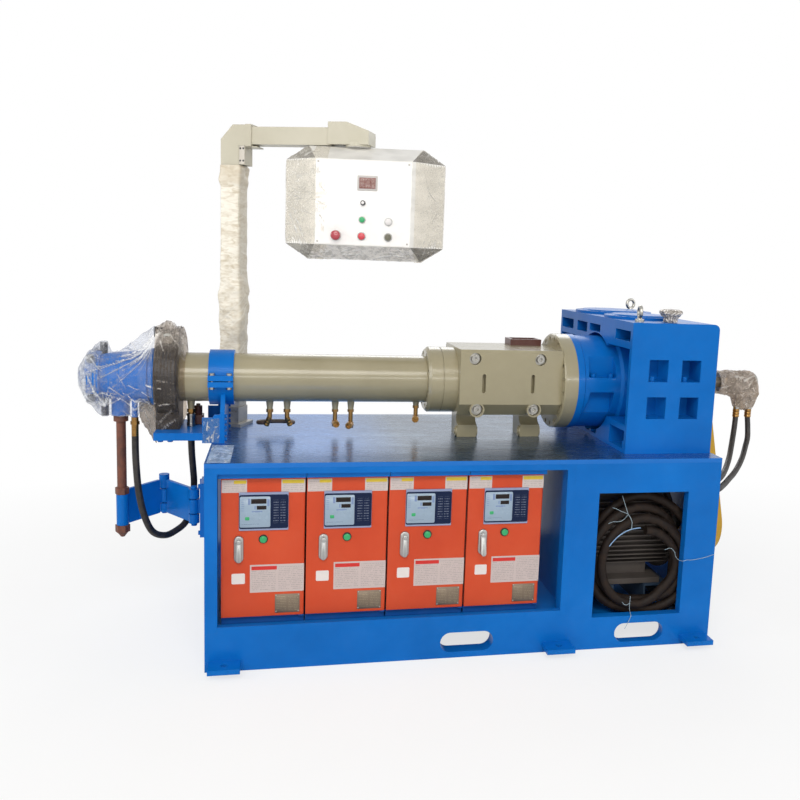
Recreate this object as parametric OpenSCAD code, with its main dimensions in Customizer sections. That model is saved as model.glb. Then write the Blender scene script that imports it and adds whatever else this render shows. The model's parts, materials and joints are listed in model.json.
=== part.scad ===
// Cold-feed rubber extruder on a welded base with four temperature-control
// cabinets, a gearbox, a swinging die head and an operator panel on a mast.
// X runs from the head to the drive, Y from the front to the rear, Z up.
// The origin is on the floor, under the middle of the base.

/* [Base] */
// Length of the base
base_l = 2100; // [1900:10:2500]
// Depth of the base
base_d = 1000; // [880:10:1200]
// Height of the table's top face above the floor
table_h = 820; // [780:5:900]
// Thickness of the table plate
table_t = 18; // [12:1:30]
// Height of the bottom sills
sill_h = 155; // [130:5:200]
// Thickness of a sill and depth of a post, front to rear
frame_t = 60; // [40:5:80]
// Thickness of the front and rear plates of the motor bay
bay_t = 38; // [20:2:50]
// Length of the motor bay, at the drive end
bay_l = 648; // [600:10:800]

/* [Fork slots] */
// Length of a fork slot
fork_l = 220; // [160:5:260]
// Height of a fork slot
fork_h = 83; // [60:5:100]
// Height of the fork slots' middle above the floor
fork_z = 66; // [50:2:90]

/* [Anchor lugs] */
// Length of an anchor lug along the base
lug_l = 120; // [80:5:160]
// Reach of an anchor lug from the base
lug_w = 78; // [60:2:110]
// Thickness of an anchor lug
lug_t = 20; // [12:1:30]
// Height of a lug's underside above the floor
lug_z = 25; // [0:1:40]
// Diameter of the anchor bolt hole
lug_hole = 26; // [18:1:36]

/* [Cabinets] */
// Pitch of the cabinets along the base
cab_pitch = 320; // [300:1:340]
// Gap between neighbouring cabinets
cab_gap = 6; // [5:0.5:10]
// Depth of a cabinet behind its door
cab_d = 560; // [400:10:650]
// Height of a door
door_h = 551; // [500:1:560]
// Thickness of a door
door_t = 18; // [15:1:30]
// How far a door's face lies behind the front of the base
door_set = 45; // [30:1:80]
// Thickness of the cabinet sheet
sheet = 3; // [2:0.5:5]

/* [Barrel] */
// Height of the screw axis above the floor
screw_z = 1073; // [1040:1:1120]
// Outer diameter of the barrel
barrel_od = 205; // [180:1:230]
// Bore of the barrel
barrel_id = 90; // [75:1:100]
// Length of the barrel from its front face to the rear flange
barrel_l = 1125; // [1035:5:1235]
// Diameter of the flanges between barrel and feed section
flange_od = 290; // [260:2:320]
// Thickness of each of those flanges
flange_t = 64; // [50:1:90]
// Diameter of the screw's core
screw_core = 58; // [45:1:70]
// Pitch of the screw flight
screw_pitch = 90; // [70:1:110]

/* [Feed section] */
// Length of the feed housing
feed_l = 459; // [420:1:520]
// Half depth of the feed housing
feed_hy = 170; // [150:1:200]
// Diameter of the large flange between feed section and lantern
big_od = 432; // [400:2:480]
// Thickness of that flange
big_t = 62; // [40:1:80]
// Length of the lantern up to the gearbox
lantern_l = 260; // [220:2:300]

/* [Gearbox] */
// Length of the gearbox along the screw axis
gear_l = 393; // [350:1:480]
// Depth of the gearbox, front to rear
gear_d = 909; // [860:1:960]
// Height of the gearbox above the table
gear_h = 555; // [520:1:620]
// Depth of the pockets in the gearbox walls
pocket_d = 110; // [80:1:130]

/* [Head] */
// Length of the die head
head_l = 298.5; // [260:0.5:330]
// Diameter of the head where it meets the barrel clamp
head_od = 236; // [210:2:260]
// Length of each link of the head's arm
link_l = 233.5; // [200:0.5:280]
// Height of the arm's plates
link_h = 150; // [110:2:180]
// Distance from the base's end to the arm's wall pivot
pivot_x = 84; // [70:1:110]
// Distance from the wall pivot to the jack screw
arm_reach = 290; // [250:1:330]

/* [Operator panel] */
// Side of the square mast
mast_w = 84; // [70:1:110]
// Height of the mast's arm above the table, to its top face
arm_top = 1323; // [1200:1:1400]
// Length of the arm from mast to swivel
arm_l = 567; // [480:1:700]
// Angle of the arm from the machine's length, seen from above
arm_turn = -23; // [-40:1:0]
// Width of the panel box
box_w = 670; // [560:2:760]
// Height of the panel box
box_h = 470; // [400:2:540]
// Depth of the panel box
box_d = 200; // [150:2:260]
// Angle of the panel box, seen from above
box_turn = -11; // [-30:1:10]

/* [Hidden] */
$fn = 48;

blue = "#1f7fd6";
orange = "#d9531e";
beige = "#a5a388";
steel = "#8d8f92";

// Along X the base is set so that head, base and rotary union together are
// centred on the origin.
fl_in = 899;             // flange pair, in from the base's left end
head_gap = 0.5;          // between the head and the ring clamp
clamp_l = 92;            // length of the ring clamp
union_l = 434;           // rotary union, out from the gearbox
reach_l = fl_in - barrel_l - head_gap - head_l;
reach_r = fl_in + 2*flange_t + feed_l + big_t + lantern_l - pocket_d + gear_l + union_l;
xl = -(reach_l + reach_r)/2;   // left end of the base
xr = xl + base_l;              // right end of the base
yf = -base_d/2;          // front of the base
yb = base_d/2;           // rear of the base
bay_x = xr - bay_l;      // where the motor bay begins
rail_h = 24;             // height of the rails under the table
plate_z = table_h - table_t;
rail_z = plate_z - rail_h;
floor_t = 6;             // floor plate of the base
bay_floor = 115;         // top of the floor in the motor bay
post_w = 47;             // width of a corner post
mid_post = 34;           // width of the post beside the motor bay
skin = 6;                // end panels
fork_x = [xl + 1026, xr - 324];     // middles of the fork slots
fit = 0.3;               // running clearance at pins

// Box from two corners
module box(a, b) { translate(a) cube(b - a); }

// Upright figure with round ends
module obround(w, h) {
  square([w, h - w], center = true);
  for (s = [-1, 1]) translate([0, s*(h - w)/2]) circle(w/2);
}

// Slot with round ends, lying along X, from y0 to y1
module slot_y(x, z, l, h, y0, y1) {
  translate([x, y1, z]) rotate([90, 0, 0]) linear_extrude(y1 - y0) rotate(90) obround(h, l);
}

// Cylinders along X and along Y
module cyl_x(x, y, z, r, l) { translate([x, y, z]) rotate([0, 90, 0]) cylinder(r = r, h = l); }
module cyl_y(x, y, z, r, l) { translate([x, y, z]) rotate([-90, 0, 0]) cylinder(r = r, h = l); }

// Solid of revolution about an axis along X: pairs of distance along X and radius
module turned_x(x, y, z, pairs) {
  translate([x, y, z]) rotate([0, 90, 0]) rotate_extrude()
    polygon(concat([[0, pairs[0][0]]], [for (p = pairs) [p[1], p[0]]], [[0, pairs[len(pairs) - 1][0]]]));
}

// Six-sided bar standing upright
module hex_z(x, y, z, r, l) { translate([x, y, z]) cylinder(r = r, h = l, $fn = 6); }

// ---- base ----

module lug(x, side) {
  y0 = side < 0 ? yf - lug_w : yb;
  difference() {
    box([x - lug_l/2, y0, lug_z], [x + lug_l/2, y0 + lug_w, lug_z + lug_t]);
    translate([x, y0 + lug_w/2, lug_z - 1]) cylinder(d = lug_hole, h = lug_t + 2);
  }
}

lug_x = [xl + 75, bay_x - 45, xr - 75];

module sill(side) {
  y0 = side < 0 ? yf : yb - frame_t;
  y1 = y0 + frame_t;
  ledge0 = side < 0 ? yf : yb - 28;
  difference() {
    union() {
      box([xl, y0, 0], [bay_x, y1, sill_h]);
      box([xl + post_w, ledge0, sill_h], [bay_x - mid_post, ledge0 + 28, sill_h + 24]);
      for (k = [0, 1]) lug(lug_x[k], side);
    }
    slot_y(fork_x[0], fork_z, fork_l, fork_h, y0 - 1, y1 + 1);
  }
}

module front_sill() { color(blue) sill(-1); }
module rear_sill() { color(blue) sill(1); }

module cross_sills() {
  color(blue) {
    for (x = [xl, xl + 640, bay_x - 60 - fit])
      box([x, yf + frame_t, 0], [x + 60, yb - frame_t, sill_h]);
    box([xr - skin - 60, yf + bay_t, 0], [xr - skin, yb - bay_t, bay_floor - floor_t]);
    box([bay_x + skin, yf + bay_t, 0], [bay_x + skin + 60, yb - bay_t, bay_floor - floor_t]);
  }
}

module floor_plate() {
  color(blue) {
    box([xl + skin, yf + frame_t, sill_h], [bay_x - fit, yb - frame_t, sill_h + floor_t]);
    box([bay_x + skin, yf + bay_t, bay_floor - floor_t], [xr - skin, yb - bay_t, bay_floor]);
  }
}

module posts() {
  color(blue) for (y = [yf, yb - frame_t]) {
    box([xl, y, sill_h], [xl + post_w, y + frame_t, rail_z]);
    box([bay_x - mid_post, y, sill_h], [bay_x, y + frame_t, rail_z]);
  }
}

module top_rails() {
  color(blue) {
    for (y = [yf, yb - frame_t]) box([xl, y, rail_z], [bay_x, y + frame_t, plate_z]);
    // one cover strip over each cabinet
    for (i = [0:3]) let (x = cab_x0 + i*cab_pitch)
      box([i == 0 ? xl + post_w : x - 1, yf + 18, rail_z - 21], [x + cab_pitch - 3, yf + 24, rail_z]);
  }
}

module table_top() {
  color(steel) box([xl, yf, plate_z], [xr, yb, table_h]);
}

// Plate of the motor bay with its window and fork slot
win = [bay_x + 108, 140, xr - 142, 677];   // window from left, bottom to right, top
module bay_plate(side) {
  y0 = side < 0 ? yf : yb - bay_t;
  difference() {
    union() {
      box([bay_x, y0, 0], [xr, y0 + bay_t, plate_z]);
      lug(lug_x[2], side);
    }
    box([win[0], y0 - 1, win[1]], [win[2], y0 + bay_t + 1, win[3]]);
    slot_y(fork_x[1], fork_z, fork_l, fork_h, y0 - 1, y0 + bay_t + 1);
  }
}

module bay_front() { color(blue) bay_plate(-1); }
module bay_rear() { color(blue) bay_plate(1); }

module end_panels() {
  color(blue) difference() {
    union() {
      box([xl, yf + frame_t, sill_h], [xl + skin, yb - frame_t, plate_z]);
      box([bay_x, yf + frame_t, 0], [bay_x + skin, yb - frame_t, plate_z]);
      box([xr - skin, yf + bay_t, 0], [xr, yb - bay_t, plate_z]);
    }
    // shaft of the motor, then the two hoses
    cyl_x(xr - skin - 1, motor_y, motor_z, 45, skin + 2);
    for (p = hose_ends) cyl_x(xr - skin - 1, p[0], p[1], 20, skin + 2);
  }
}

// ---- temperature-control cabinets ----

door_w = cab_pitch - cab_gap;
cab_x0 = xl + post_w + 11;             // left side of the first cabinet
door_y = yf + door_set;                // front face of the doors
cab_y = door_y + door_t + 2;           // front edge of the cabinets
cab_z0 = sill_h + floor_t;
door_z0 = sill_h + 43;
cab_z1 = door_z0 + door_h + 8;
hinge_in = 8;                          // hinge axis, in from the door's edge and face
pin_r = 4;

function hinge_x(i) = cab_x0 + i*cab_pitch + door_w - hinge_in;

module cabinet(i) {
  x0 = cab_x0 + i*cab_pitch;
  x1 = x0 + door_w;
  hx = hinge_x(i);
  hy = door_y + hinge_in;
  color("#c9cdd0") {
    difference() {
      box([x0, cab_y, cab_z0], [x1, cab_y + cab_d, cab_z1]);
      box([x0 + sheet, cab_y - 1, cab_z0 + sheet], [x1 - sheet, cab_y + cab_d - sheet, cab_z1 - sheet]);
    }
    // upright strip below the door and hinge tabs with their pins
    box([x0, cab_y, cab_z0], [x1, cab_y + sheet, door_z0 - 2]);
    for (s = [0, 1]) {
      tz = s == 0 ? door_z0 - 6 : door_z0 + door_h + 2;
      box([hx - 12, door_y + 1, tz], [x1, cab_y + 1, tz + 4]);
      translate([hx, hy, s == 0 ? tz : tz - 14]) cylinder(r = pin_r, h = 18);
    }
  }
}

module cabinets() { for (i = [0:3]) cabinet(i); }

module door(i) {
  x0 = cab_x0 + i*cab_pitch;
  x1 = x0 + door_w;
  hx = hinge_x(i);
  hy = door_y + hinge_in;
  color(orange) difference() {
    union() {
      box([x0, door_y, door_z0], [hx, door_y + door_t, door_z0 + door_h]);
      box([hx - 1, hy, door_z0], [x1, door_y + door_t, door_z0 + door_h]);
      translate([hx, hy, door_z0]) cylinder(r = hinge_in, h = door_h);
    }
    box([x0 + 14, door_y + 3, door_z0 + 18], [hx - 12, door_y + door_t + 1, door_z0 + door_h - 18]);
    for (z = [door_z0 - 1, door_z0 + door_h - 13])
      translate([hx, hy, z]) cylinder(r = pin_r + fit, h = 14);
  }
}

// Controller, swing handle and push button of one door
panel_at = [66, 203];         // lower left corner of the controller, from the door's top left
panel_size = [185, 150];
handle_at = [65.5, 276.5];
button_at = [157, 239];
module door_fittings(i) {
  x0 = cab_x0 + i*cab_pitch;
  z1 = door_z0 + door_h;
  color("#8d9bc0") {
    box([x0 + panel_at[0], door_y - 6, z1 - panel_at[1]],
      [x0 + panel_at[0] + panel_size[0], door_y, z1 - panel_at[1] + panel_size[1]]);
    box([x0 + panel_at[0] + 6, door_y - 9, z1 - panel_at[1] + 8],
      [x0 + panel_at[0] + panel_size[0] - 6, door_y - 6, z1 - panel_at[1] + panel_size[1] - 8]);
  }
  color("silver") translate([x0 + handle_at[0], door_y, z1 - handle_at[1]]) rotate([90, 0, 0]) difference() {
    union() {
      linear_extrude(9) obround(36, 107);
      linear_extrude(17) obround(25, 88);
      // the lever lies in the dish, hinged at its top
      translate([0, 28, 0]) cylinder(r = 12, h = 20);
    }
    translate([0, -36, 14]) cylinder(r = 9, h = 10);
  }
  color("green") {
    cyl_y(x0 + button_at[0], door_y - 4, z1 - button_at[1], 17.5, 4);
    cyl_y(x0 + button_at[0], door_y - 12, z1 - button_at[1], 14, 9);
  }
}
// ---- barrel and its support ----

fl_x = xl + fl_in;            // front face of the flange pair
bar_x0 = fl_x - barrel_l;     // front face of the barrel
clamp_x = bar_x0;             // front face of the ring clamp around its end
feed_x0 = fl_x + 2*flange_t;  // front face of the feed housing
feed_x1 = feed_x0 + feed_l;
big_x1 = feed_x1 + big_t;
lan_x1 = big_x1 + lantern_l;
band_x0 = xl - 16;            // clamp band around the barrel
band_w = 100;
band_r = barrel_od/2 + 14;

port_x = [bar_x0 + 132, fl_x - 669, fl_x - 596, fl_x - 390, fl_x - 322, fl_x - 33];   // cooling ports
port_h = [34, 34, 34, 34, 34, 16];
function port_z(k) = screw_z - barrel_od/2 - port_h[k];
module barrel() {
  color(beige) difference() {
    union() {
      cyl_x(bar_x0, 0, screw_z, barrel_od/2, barrel_l);
      for (k = [0:5]) translate([port_x[k], 0, port_z(k)]) cylinder(r1 = 12, r2 = 19, h = port_h[k] + 24);
    }
    cyl_x(bar_x0 - 1, 0, screw_z, barrel_id/2, barrel_l + 2);
  }
}

// Single-flight screw: a core and a helical land of square section
screw_x1 = feed_x1;
land = 16;
flight_steps = 15;            // straight pieces in one turn of the flight
module flight(r0, r1, turns, steps) {
  n = turns*steps;
  verts = [for (i = [0:n]) let (a = 360*i/steps, x = screw_pitch*i/steps)
    each [for (c = [[r0, 0], [r1, 0], [r1, land], [r0, land]]) [x + c[1], c[0]*cos(a), c[0]*sin(a)]]];
  faces = concat([[3, 2, 1, 0]], [[4*n, 4*n + 1, 4*n + 2, 4*n + 3]],
    [for (i = [0:n - 1]) for (j = [0:3]) let (k = (j + 1)%4) each [
      [4*i + j, 4*i + k, 4*i + 4 + j], [4*i + k, 4*i + 4 + k, 4*i + 4 + j]]]);
  polyhedron(points = verts, faces = faces);
}
module screw() {
  turns = floor((screw_x1 - 60 - bar_x0)/screw_pitch);
  color(steel) {
    cyl_x(bar_x0, 0, screw_z, screw_core/2, screw_x1 - bar_x0);
    translate([bar_x0, 0, screw_z]) rotate([0, -90, 0]) cylinder(r1 = screw_core/2, r2 = 6, h = 30);
    translate([bar_x0, 0, screw_z])
      flight(screw_core/2/cos(180/flight_steps) + 0.2, barrel_id/2 - fit, turns, flight_steps);
  }
}

module barrel_flanges() {
  r = flange_od/2;
  color(beige) difference() {
    // a fine groove runs round where the two meet
    turned_x(fl_x, 0, screw_z, [[0, r - 12], [12, r], [flange_t - 2, r], [flange_t - 2, r - 3],
      [flange_t + 2, r - 3], [flange_t + 2, r], [2*flange_t, r]]);
    cyl_x(fl_x - 1, 0, screw_z, barrel_id/2, 2*flange_t + 2);
    // clamping screws of the front flange, sunk in its face
    for (a = [22.5:45:360]) translate([fl_x - 1, 0, screw_z]) rotate([a, 0, 0]) translate([0, r - 26, 0])
      rotate([0, 90, 0]) cylinder(r = 11, h = 17);
  }
}

module die_clamp() {
  r = barrel_od/2;
  color("#4a4745") difference() {
    union() {
      turned_x(clamp_x, 0, screw_z, [[0, r + 50], [7, r + 57], [clamp_l - 7, r + 57], [clamp_l, r + 50]]);
      // foot on the shelf
      box([clamp_x, -75, shelf_z1], [clamp_x + clamp_l, 75, screw_z - r - 8]);
      // lugs of the hinge bolt at the top
      for (x = [clamp_x, clamp_x + clamp_l - 30]) box([x, -40, screw_z + r + 30], [x + 30, 40, screw_z + r + 105]);
    }
    cyl_x(clamp_x - 1, 0, screw_z, r, clamp_l + 2);
    cyl_x(clamp_x - 1, 0, screw_z + r + 84, 13, clamp_l + 2);
    for (x = [clamp_x + 34, clamp_x + 62]) cyl_y(x, -76, shelf_z1 + 72, 6, 20);
  }
  // hinge bolt and closing bolt on top
  z = screw_z + r + 84;
  color(steel) {
    cyl_x(clamp_x - 12, 0, z, 22, 12);
    cyl_x(clamp_x + clamp_l, 0, z, 22, 12);
    cyl_x(clamp_x - 12, 0, z, 13, clamp_l + 24);
    translate([clamp_x + clamp_l/2, 0, z - 20]) cylinder(r = 11, h = 62);
    hex_z(clamp_x + clamp_l/2, 0, z + 21, 22, 16);
  }
}

split = 2;                    // half the gap between the clamp's halves
ear_y = band_r + 9;           // middle of the ears, where their bolts are
ear_h = 24;
band_bolt_x = [band_x0 + 16, band_x0 + band_w - 16];
module clamp_half(s) {
  difference() {
    union() {
      cyl_x(band_x0, 0, screw_z, band_r, band_w);
      for (y = [-1, 1]) translate([band_x0, y*ear_y - 15, screw_z - ear_h]) cube([band_w, 30, 2*ear_h]);
    }
    cyl_x(band_x0 - 1, 0, screw_z, barrel_od/2 + fit, band_w + 2);
    translate([band_x0 - 1, -200, screw_z - (s > 0 ? 400 - split : split)]) cube([band_w + 2, 400, 400]);
    for (y = [-1, 1]) for (x = band_bolt_x) translate([x, y*ear_y, screw_z - 60]) cylinder(r = 7, h = 120);
  }
}
module clamp_bolts() {
  color("silver") for (y = [-1, 1]) for (x = band_bolt_x) {
    translate([x, y*ear_y, screw_z - ear_h - 10]) cylinder(r = 6, h = 2*ear_h + 12);
    translate([x, y*ear_y, screw_z + ear_h]) cylinder(r = 11, h = 9);
    hex_z(x, y*ear_y, screw_z - ear_h - 10, 11, 10);
  }
}
module clamp_upper() { color(blue) clamp_half(1); }
module clamp_lower() { color(blue) clamp_half(-1); }

sup_y = 150;                  // half width of the support bracket
shelf_x = clamp_x;            // free end of the shelf
shelf_z0 = table_h + 11;
shelf_z1 = shelf_z0 + 31;
cheek_x = xl - 37;            // where the cheek plates end
sup_x = xl + 34;              // front face of the upright plate
sup_t = 18;
module support_bracket() {
  color(blue) {
    difference() {
      translate([sup_x, 0, 0]) rotate([90, 0, 90]) linear_extrude(sup_t)
        polygon([[-sup_y, table_h], [sup_y, table_h], [sup_y, table_h + 130], [100, screw_z - band_r + 60],
          [-100, screw_z - band_r + 60], [-sup_y, table_h + 130]]);
      cyl_x(sup_x - 1, 0, screw_z, band_r, sup_t + 2);
    }
    for (s = [-1, 1]) translate([0, s > 0 ? sup_y : -sup_y + 12, 0]) rotate([90, 0, 0]) linear_extrude(12)
      polygon([[cheek_x, table_h], [sup_x, table_h], [sup_x, table_h + 118], [sup_x - 22, table_h + 118],
        [sup_x - 30, table_h + 105], [cheek_x, table_h + 105]]);
    difference() {
      box([shelf_x, -sup_y, shelf_z0], [cheek_x, sup_y, shelf_z1]);
      translate([port_x[0], 0, shelf_z0 - 1]) cylinder(r = 16, h = 60);
    }
    for (y = [-95, 95]) box([cheek_x, y - 7, shelf_z1 - 20], [sup_x, y + 7, shelf_z1]);
  }
}

// Hexagon bolts that hold the bracket, and those under its shelf
module bracket_bolts() {
  color("#2c4f86") {
    for (s = [-1, 1]) for (k = [0:4])
      translate([sup_x + sup_t, s*(sup_y - 14), table_h + 14 + 24*k]) rotate([0, 90, 0]) cylinder(r = 8, h = 8, $fn = 6);
    for (s = [-1, 1]) for (x = [shelf_x + 24, shelf_x + 62])
      translate([x, s*(sup_y - 24), shelf_z0 - 9]) cylinder(r = 11, h = 9, $fn = 6);
    // pad of the wall pivot
    for (y = [-44, 44]) for (z = [406, 610]) translate([xl - 63, y, z]) rotate([0, 90, 0]) cylinder(r = 10, h = 8, $fn = 6);
  }
}

// Nipples, elbows and plugs under the barrel
module elbow(k, z, turn) {
  translate([port_x[k], 0, z]) {
    cylinder(r = 9.5, h = port_z(k) - z);
    translate([0, 0, port_z(k) - z - 12]) cylinder(r = 14, h = 12, $fn = 6);
    translate([0, 0, -13]) cylinder(r = 13, h = 26);
    rotate([90, 0, turn]) difference() {
      cylinder(r = 15, h = 30);
      translate([0, 0, 16]) cylinder(r = 9.5, h = 15);
    }
  }
}
module port_fittings() {
  color("#b08d57") {
    elbow(3, 874, 8);
    elbow(4, 867, -20);
    elbow(5, 896, -10);
    // straight nipples of the hose loop
    for (k = [1, 2]) {
      translate([port_x[k], 0, loop_z]) cylinder(r = 10, h = port_z(k) - loop_z);
      translate([port_x[k], 0, port_z(k) - 14]) cylinder(r = 15, h = 14, $fn = 6);
    }
    // long nipple down into the shelf
    translate([port_x[0], 0, shelf_z0 + 0.5]) cylinder(r = 12, h = port_z(0) - shelf_z0 - 0.5);
    translate([port_x[0], 0, port_z(0) - 14]) cylinder(r = 17, h = 14, $fn = 6);
  }
}

// ---- feed section and gearbox ----

module feed_profile() {
  polygon([[-feed_hy, -85], [-feed_hy, 140], [-feed_hy + 12, 152], [feed_hy - 12, 152],
    [feed_hy, 140], [feed_hy, -85], [feed_hy - 55, -140], [-feed_hy + 55, -140]]);
}

feed_bolt_at = [[feed_x0 + 64, 113], [feed_x0 + 357, 113], [feed_x0 + 80, -109], [feed_x0 + 337, -109]];
throat_x = [feed_x0 + 294, feed_x0 + 413];   // mouth of the feed throat
throat_y = [74, 146];
module feed_body() {
  color(beige) difference() {
    union() {
      translate([feed_x0, 0, screw_z]) rotate([90, 0, 90]) linear_extrude(feed_l) feed_profile();
      for (p = feed_bolt_at) cyl_y(p[0], -feed_hy, screw_z + p[1], 33, 70);
    }
    cyl_x(feed_x0 - 1, 0, screw_z, barrel_id/2, feed_l + 2);
    // the throat leads down and sideways into the bore
    translate([throat_x[0], 0, screw_z]) rotate([90, 0, 90]) linear_extrude(throat_x[1] - throat_x[0])
      polygon([[throat_y[0], 160], [throat_y[1], 160], [44, 0], [0, 0], [0, 44]]);
    for (p = feed_bolt_at) cyl_y(p[0], -feed_hy - 1, screw_z + p[1], 26, 23);
    for (x = [feed_x0 + 106, feed_x0 + 326]) translate([x, -feed_hy - 1, screw_z + 6]) rotate([-90, 0, 0])
      linear_extrude(31) obround(16, 83);
  }
}

// Feet of the feed housing: an arched web and a lying boss at each
module feed_feet() {
  color(beige) for (x = [feed_x0 + 21, feed_x0 + 314]) {
    translate([x, 0, 0]) rotate([90, 0, 90]) linear_extrude(88) difference() {
      polygon([[-48, table_h], [72, table_h], [84, screw_z - 140], [-60, screw_z - 140]]);
      translate([-60, screw_z - 152]) circle(46);
    }
    cyl_x(x - 6, -26, table_h + 24, 24, 100);
    cyl_x(x - 10, -26, table_h + 24, 14, 5);
  }
}

// Socket-head cap screws on their washers
module feed_bolts() {
  color("silver") for (p = feed_bolt_at) translate([p[0], -feed_hy, screw_z + p[1]]) rotate([90, 0, 0]) difference() {
    union() {
      translate([0, 0, -22]) cylinder(r = 24, h = 4);
      translate([0, 0, -22]) cylinder(r = 16, h = 22);
    }
    translate([0, 0, -12]) cylinder(r = 8.5, h = 14, $fn = 6);
  }
}

module feed_hopper() {
  color("#6a3b30") difference() {
    box([throat_x[0] - 14, throat_y[0] - 14, screw_z + 152], [throat_x[1] + 14, throat_y[1] + 14, screw_z + 181]);
    box([throat_x[0], throat_y[0], screw_z + 100], [throat_x[1], throat_y[1], screw_z + 220]);
  }
}

module feed_flange() {
  r = big_od/2;
  color(beige) difference() {
    turned_x(feed_x1, 0, screw_z, [[0, r - 5], [5, r], [big_t, r]]);
    cyl_x(feed_x1 - 1, 0, screw_z, barrel_id/2, big_t + 2);
    for (a = [9:18:360]) translate([feed_x1 - 1, 0, screw_z]) rotate([a, 0, 0]) translate([0, r - 22, 0])
      rotate([0, 90, 0]) cylinder(r = 9.5, h = 20);
  }
}

// Lantern between feed section and gearbox: a thick ring with four windows
// in front and four behind, cut with sloping ends
lan_r = big_od/2;
module lantern() {
  wx = big_x1 + 48;
  color(blue) difference() {
    turned_x(big_x1, 0, screw_z,
      [[0, lan_r], [30, lan_r], [34, lan_r - 5], [lantern_l - 62, lan_r - 5], [lantern_l - 50, lan_r + 6], [lantern_l, lan_r + 6]]);
    cyl_x(big_x1 - 1, 0, screw_z, screw_core, lantern_l + 2);
    for (s = [-1, 1]) {
      translate([0, s > 0 ? 260 : -260 + 96, 0]) rotate([90, 0, 0]) linear_extrude(96) {
        translate([wx, screw_z + 42]) polygon([[0, 6], [6, 0], [126, 0], [130, 6], [124, 92], [8, 92]]);
        translate([wx - 8, screw_z - 118]) polygon([[0, 0], [126, 0], [130, 96], [18, 96]]);
      }
    }
  }
}

gear_x0 = lan_x1 - pocket_d;
gear_y1 = yb;
gear_y0 = yb - gear_d;
gear_z1 = table_h + gear_h;
front_win = [84, 233];        // pockets in the front, from the gearbox's left face
win_w = 86;
win_h = 93;
win_d = 100;
edge_r = 25;                  // rounded edge at the top right
module gearbox() {
  color(blue) difference() {
    translate([0, gear_y1, 0]) rotate([90, 0, 0]) linear_extrude(gear_d) union() {
      translate([gear_x0, table_h]) square([gear_l, gear_h - edge_r]);
      translate([gear_x0, table_h]) square([gear_l - edge_r, gear_h]);
      translate([gear_x0 + gear_l - edge_r, gear_z1 - edge_r]) circle(edge_r);
    }
    // seat of the lantern, then the pockets between the ribs of the left wall
    cyl_x(gear_x0 - 1, 0, screw_z, lan_r + 10, pocket_d + 1);
    for (p = [[gear_y0 + 22, 160, 82], [-46, 134, 72], [122, 134, 85], [gear_y1 - 187, 165, 85]])
      box([gear_x0 - 1, p[0], gear_z1 - p[2]], [lan_x1, p[0] + p[1], gear_z1 - 38]);
    for (p = [[gear_y0 + 22, 250], [gear_y1 - 272, 250]])
      box([gear_x0 - 1, p[0], 940], [lan_x1, p[0] + p[1], gear_z1 - 112]);
    for (p = [[gear_y0 + 22, 160], [-70, 60], [10, 60], [gear_y1 - 187, 165]])
      box([gear_x0 - 1, p[0], table_h + 16], [lan_x1, p[0] + p[1], table_h + 94]);
    // windows in the front and rear walls
    for (x = front_win) for (z = [970, 1128]) for (y = [gear_y0 - 1, gear_y1 - win_d])
      box([gear_x0 + x, y, z], [gear_x0 + x + win_w, y + win_d + 1, z + win_h]);
  }
  gearbox_lids();
}

// Screws in the windows of lantern and gearbox and in the low corner pockets
module gear_bolts() {
  color(blue) {
    for (x = [big_x1 + 77, big_x1 + 159]) for (s = [-1, 1])
      translate([x, s*182, screw_z + 42]) cylinder(r = 11, h = 16);
    for (x = front_win) for (y = [gear_y0 + 34, gear_y1 - 34])
      translate([gear_x0 + x + 30, y, 1128]) cylinder(r = 12, h = 20);
    for (y = [gear_y0 + 52, gear_y1 - 52]) hex_z(gear_x0 + 24, y, table_h + 16, 16, 30);
  }
}

lid_at = [[190, 275, 184], [165, -100, 160]];   // round lids: from the left face, across, radius
module gearbox_lids() {
  color(blue) for (p = lid_at) translate([gear_x0 + p[0], p[1], gear_z1]) difference() {
    union() {
      cylinder(r = p[2], h = 12);
      translate([0, 0, 12]) cylinder(r1 = p[2] - 30, r2 = p[2] - 36, h = 6);
    }
    for (a = [15:30:345]) rotate([0, 0, a]) translate([p[2] - 15, 0, 9]) cylinder(r = 9, h = 4);
  }
}

module gearbox_fittings() {
  color("silver") {
    for (p = [[49, -356, 80], [347, 430, 15]]) {
      translate([gear_x0 + p[0], p[1], gear_z1]) cylinder(r = 19, h = 12);
      translate([gear_x0 + p[0], p[1], gear_z1 + 11]) cylinder(r1 = 12, r2 = 8, h = 14);
      translate([gear_x0 + p[0], p[1], gear_z1 + 42]) rotate([90, 0, p[2]]) rotate_extrude() translate([22, 0]) circle(7.5, $fn = 16);
    }
    translate([gear_x0 + 202, -330, gear_z1]) cylinder(r = 22, h = 32);
    translate([gear_x0 + 202, -330, gear_z1 + 12]) cylinder(r = 27, h = 10, $fn = 6);
    translate([gear_x0 + 202, -330, gear_z1 + 32]) cylinder(r1 = 38, r2 = 42, h = 14);
    translate([gear_x0 + 202, -330, gear_z1 + 46]) cylinder(r1 = 42, r2 = 30, h = 8);
  }
}

gear_x1 = gear_x0 + gear_l;
union_x = [gear_x1 + 352, gear_x1 + 415];   // the two hose ports
union_z = 943;                // where the hoses leave the ports
module rotary_union() {
  color(steel) {
    turned_x(gear_x1, 0, screw_z, [[0, 36], [60, 36], [66, 25], [252, 25], [252, 48], [262, 52],
      [330, 52], [338, 40], [376, 40], [376, 46], [union_l - 8, 46], [union_l, 38]]);
    for (x = union_x) {
      translate([x, 0, union_z + 2]) cylinder(r = 12, h = screw_z - union_z - 20);
      translate([x, 0, union_z + 0.3]) cylinder(r = 15.5, h = 42);
      translate([x, 0, union_z + 42]) cylinder(r = 19, h = 16, $fn = 6);
    }
  }
}

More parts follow.
